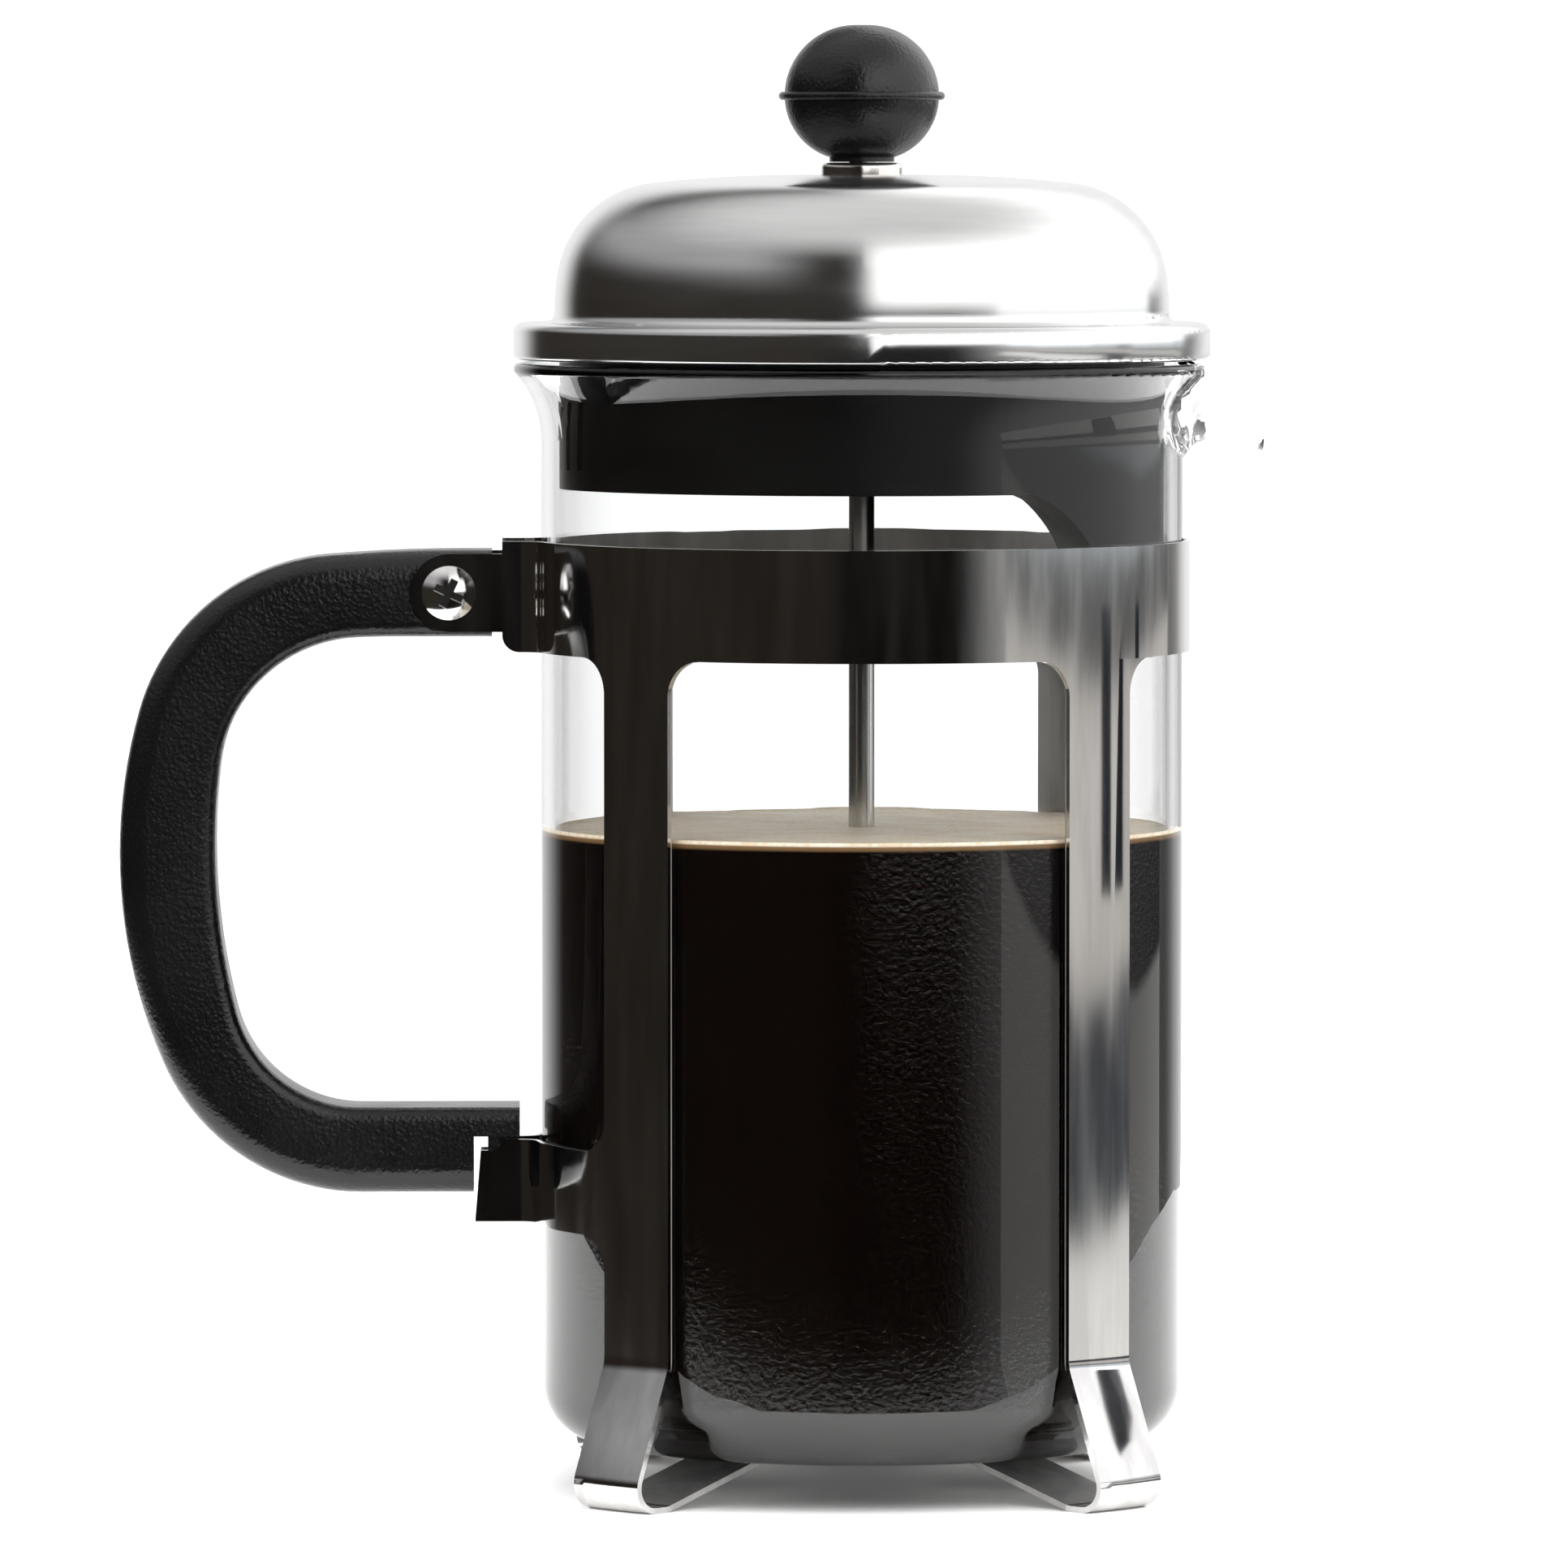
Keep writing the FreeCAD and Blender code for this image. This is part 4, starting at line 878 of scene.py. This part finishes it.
# ----------------------------------------------------------------------- studio
@dataclass(frozen=True)
class Zone:
    """A patch of the studio's walls as the gloss sees it, by direction.

    Each pair is where the patch starts and where it is full, as a part of a
    unit step along that axis.
    """

    colour: Colour
    x: tuple[float, float] | None = None
    y: tuple[float, float] | None = None
    z: tuple[float, float] | None = None


@dataclass(frozen=True)
class Card:
    """An upright card that only the gloss sees, in level bands of colour."""

    name: str
    low: tuple[float, float, float]
    high: tuple[float, float, float]
    bands: tuple[tuple[float, Colour], ...]
    softness: float = 0.003

    def material(self) -> bpy.types.Material:
        """Builds the material.

        Returns:
            A glow whose colour changes with height.
        """
        made = bpy.data.materials.new(self.name)
        graph = Graph(made)
        height = graph.add("ShaderNodeSeparateXYZ", {0: graph.place()}).outputs[2]
        colour = self.bands[0][1]
        for start, band in self.bands[1:]:
            share = graph.ease(height, start - self.softness, start + self.softness)
            colour = graph.blend(share, colour, band)
        value = colour if isinstance(colour, bpy.types.NodeSocket) else (*colour, 1.0)
        glow = graph.add("ShaderNodeEmission", {"Color": value, "Strength": 1.0})
        graph.add("ShaderNodeOutputMaterial", {"Surface": glow.outputs[0]})
        return made

    def hang(self) -> None:
        """Puts the card in the scene."""
        low, high = Vector(self.low), Vector(self.high)
        shaped = bmesh.new()
        across = Matrix.Rotation(math.pi / 2, 4, "Y")
        bmesh.ops.create_grid(shaped, x_segments=1, y_segments=1, size=0.5, matrix=across)
        stretch = (1.0, high.y - low.y, high.z - low.z)
        bmesh.ops.scale(shaped, vec=stretch, verts=shaped.verts)
        bmesh.ops.translate(shaped, vec=(low + high) / 2, verts=shaped.verts)
        mesh = bpy.data.meshes.new(self.name)
        shaped.to_mesh(mesh)
        shaped.free()
        mesh.materials.append(self.material())
        card = bpy.data.objects.new(self.name, mesh)
        card.visible_camera = False
        card.visible_diffuse = False
        card.visible_transmission = False
        card.visible_shadow = False
        bpy.context.scene.collection.objects.link(card)


@dataclass
class Studio:
    """Floor, walls, cards, lights and camera."""

    floor_radius: float = 0.33
    floor_depth: float = 0.01
    floor_back: float = 0.2
    camera_at: tuple[float, float, float] = (-0.050, -1.899, 0.2122)
    lens: float = 283.0
    light_aim: float = 0.1
    dark: Colour = (0.003, 0.0024, 0.0018)
    soft_white: float = 2.1
    zones: tuple[Zone, ...] = (
        Zone((0.02, 0.016, 0.0125), x=(-0.05, -0.35)),
        Zone((0.42, 0.42, 0.43), x=(-0.2, -0.7), z=(0.15, 0.5)),
        Zone((0.5, 0.5, 0.5), x=(0.5, 0.9)),
        Zone((1.7, 1.7, 1.7), x=(-0.06, 0.1), z=(0.0, 0.1)),
        Zone((0.8, 0.8, 0.8), z=(0.55, 0.95)),
        Zone((1.0, 1.0, 1.0), y=(0.72, 0.95)),
    )
    cards: tuple[Card, ...] = (
        Card(
            "card_right",
            (0.7, -0.62, -0.12),
            (0.7, 0.62, 0.8),
            (
                (-0.12, (1.0, 1.0, 0.97)),
                (0.006, (0.06, 0.065, 0.075)),
                (0.045, (0.68, 0.66, 0.63)),
                (0.1, (0.15, 0.15, 0.15)),
                (0.122, (0.7, 0.76, 0.8)),
                (0.172, (1.5, 1.5, 1.52)),
            ),
        ),
        Card(
            "card_foot",
            (0.23, -0.031, 0.084),
            (0.23, 0.012, 0.13),
            ((0.084, (0.02, 0.022, 0.028)),),
        ),
        Card(
            "card_brim",
            (0.23, -0.02, 0.16),
            (0.23, 0.0, 0.172),
            ((0.16, (0.06, 0.066, 0.08)),),
        ),
    )

    def build(self) -> None:
        """Makes the floor, the walls' colours, the cards, the lights and the camera."""
        self.lay_floor()
        self.paint_walls()
        for card in self.cards:
            card.hang()
        self.hang_lights()
        self.set_camera()

    def lay_floor(self) -> None:
        """A round sheet whose top is at table level."""
        shaped = bmesh.new()
        bmesh.ops.create_cone(
            shaped,
            cap_ends=True,
            segments=96,
            radius1=self.floor_radius,
            radius2=self.floor_radius,
            depth=self.floor_depth,
            matrix=Matrix.Translation((0, self.floor_back, -self.floor_depth / 2)),
        )
        mesh = bpy.data.meshes.new("floor")
        shaped.to_mesh(mesh)
        shaped.free()
        mesh.materials.append(StudioFloor("floor_paper").material())
        floor = bpy.data.objects.new("floor", mesh)
        bpy.context.scene.collection.objects.link(floor)

    def paint_walls(self) -> None:
        """Pale walls, with the dark and bright parts that the gloss picks up."""
        world = bpy.data.worlds.new("studio")
        bpy.context.scene.world = world
        graph = Graph(world)
        heading = graph.add("ShaderNodeTexCoord").outputs["Generated"]
        parts = graph.add("ShaderNodeSeparateXYZ", {0: heading})
        colour = self.dark
        for zone in self.zones:
            share = None
            for axis, limits in enumerate((zone.x, zone.y, zone.z)):
                if limits:
                    step = self.step(graph, parts.outputs[axis], limits)
                    share = step if share is None else graph.maths("MULTIPLY", share, step)
            colour = graph.blend(share, colour, zone.colour)
        path = graph.add("ShaderNodeLightPath")
        bounced = graph.maths("GREATER_THAN", path.outputs["Glossy Depth"], 0.5)
        spread = graph.maths("GREATER_THAN", path.outputs["Diffuse Depth"], 0.5)
        walls = graph.blend(bounced, (1.2, 1.2, 1.2), colour)
        walls = graph.blend(spread, walls, (self.soft_white,) * 3)
        shader = graph.add("ShaderNodeBackground", {"Color": walls, "Strength": 1.0})
        graph.add("ShaderNodeOutputWorld", {"Surface": shader.outputs[0]})

    @staticmethod
    def step(
        graph: Graph, value: bpy.types.NodeSocket, limits: tuple[float, float]
    ) -> bpy.types.NodeSocket:
        """A smooth step that also falls, where its first limit is the higher.

        Args:
            graph: The world's graph.
            value: The part of the direction.
            limits: Where the patch starts and where it is full.

        Returns:
            The share's socket.
        """
        start, full = limits
        if start < full:
            return graph.ease(value, start, full)
        return graph.ease(value, full, start, 1.0, 0.0)

    def hang_lights(self) -> None:
        """A large soft key on the right and a weaker one on the left."""
        plan = (
            ("key", (1.1, -0.9, 1.2), 1.0, 16.0),
            ("fill", (-1.0, -0.7, 0.9), 0.8, 4.0),
        )
        for name, place, size, power in plan:
            light = bpy.data.lights.new(name, "AREA")
            light.size = size
            light.energy = power
            holder = bpy.data.objects.new(name, light)
            holder.location = place
            toward = Vector((0, 0, self.light_aim)) - Vector(place)
            holder.rotation_euler = toward.to_track_quat("-Z", "Y").to_euler()
            holder.visible_glossy = False
            bpy.context.scene.collection.objects.link(holder)

    def set_camera(self) -> None:
        """A long lens at the height of the knob, aimed at the middle."""
        low, high = (Vector(corner) for corner in CAD_BOX)
        middle = (low + high) / 2
        aim = Vector((middle.x + AIM_OFFSET[0], 0.0, middle.z + AIM_OFFSET[1]))
        camera = bpy.data.cameras.new("camera")
        camera.lens = self.lens
        camera.sensor_width = 36.0
        holder = bpy.data.objects.new("camera", camera)
        holder.location = self.camera_at
        holder.rotation_euler = (aim - holder.location).to_track_quat("-Z", "Y").to_euler()
        bpy.context.scene.collection.objects.link(holder)
        bpy.context.scene.camera = holder


def main() -> None:
    """Builds and dresses every sub-assembly, then the studio."""
    logging.basicConfig(level=logging.INFO, format="%(message)s")
    bpy.context.scene.view_settings.view_transform = "Standard"
    for assembly in (Stand(), Beaker(), Lid(), Plunger(), FilterStack()):
        assembly.build()
        assembly.dress()
    Studio().build()


if __name__ == "__main__":
    main()
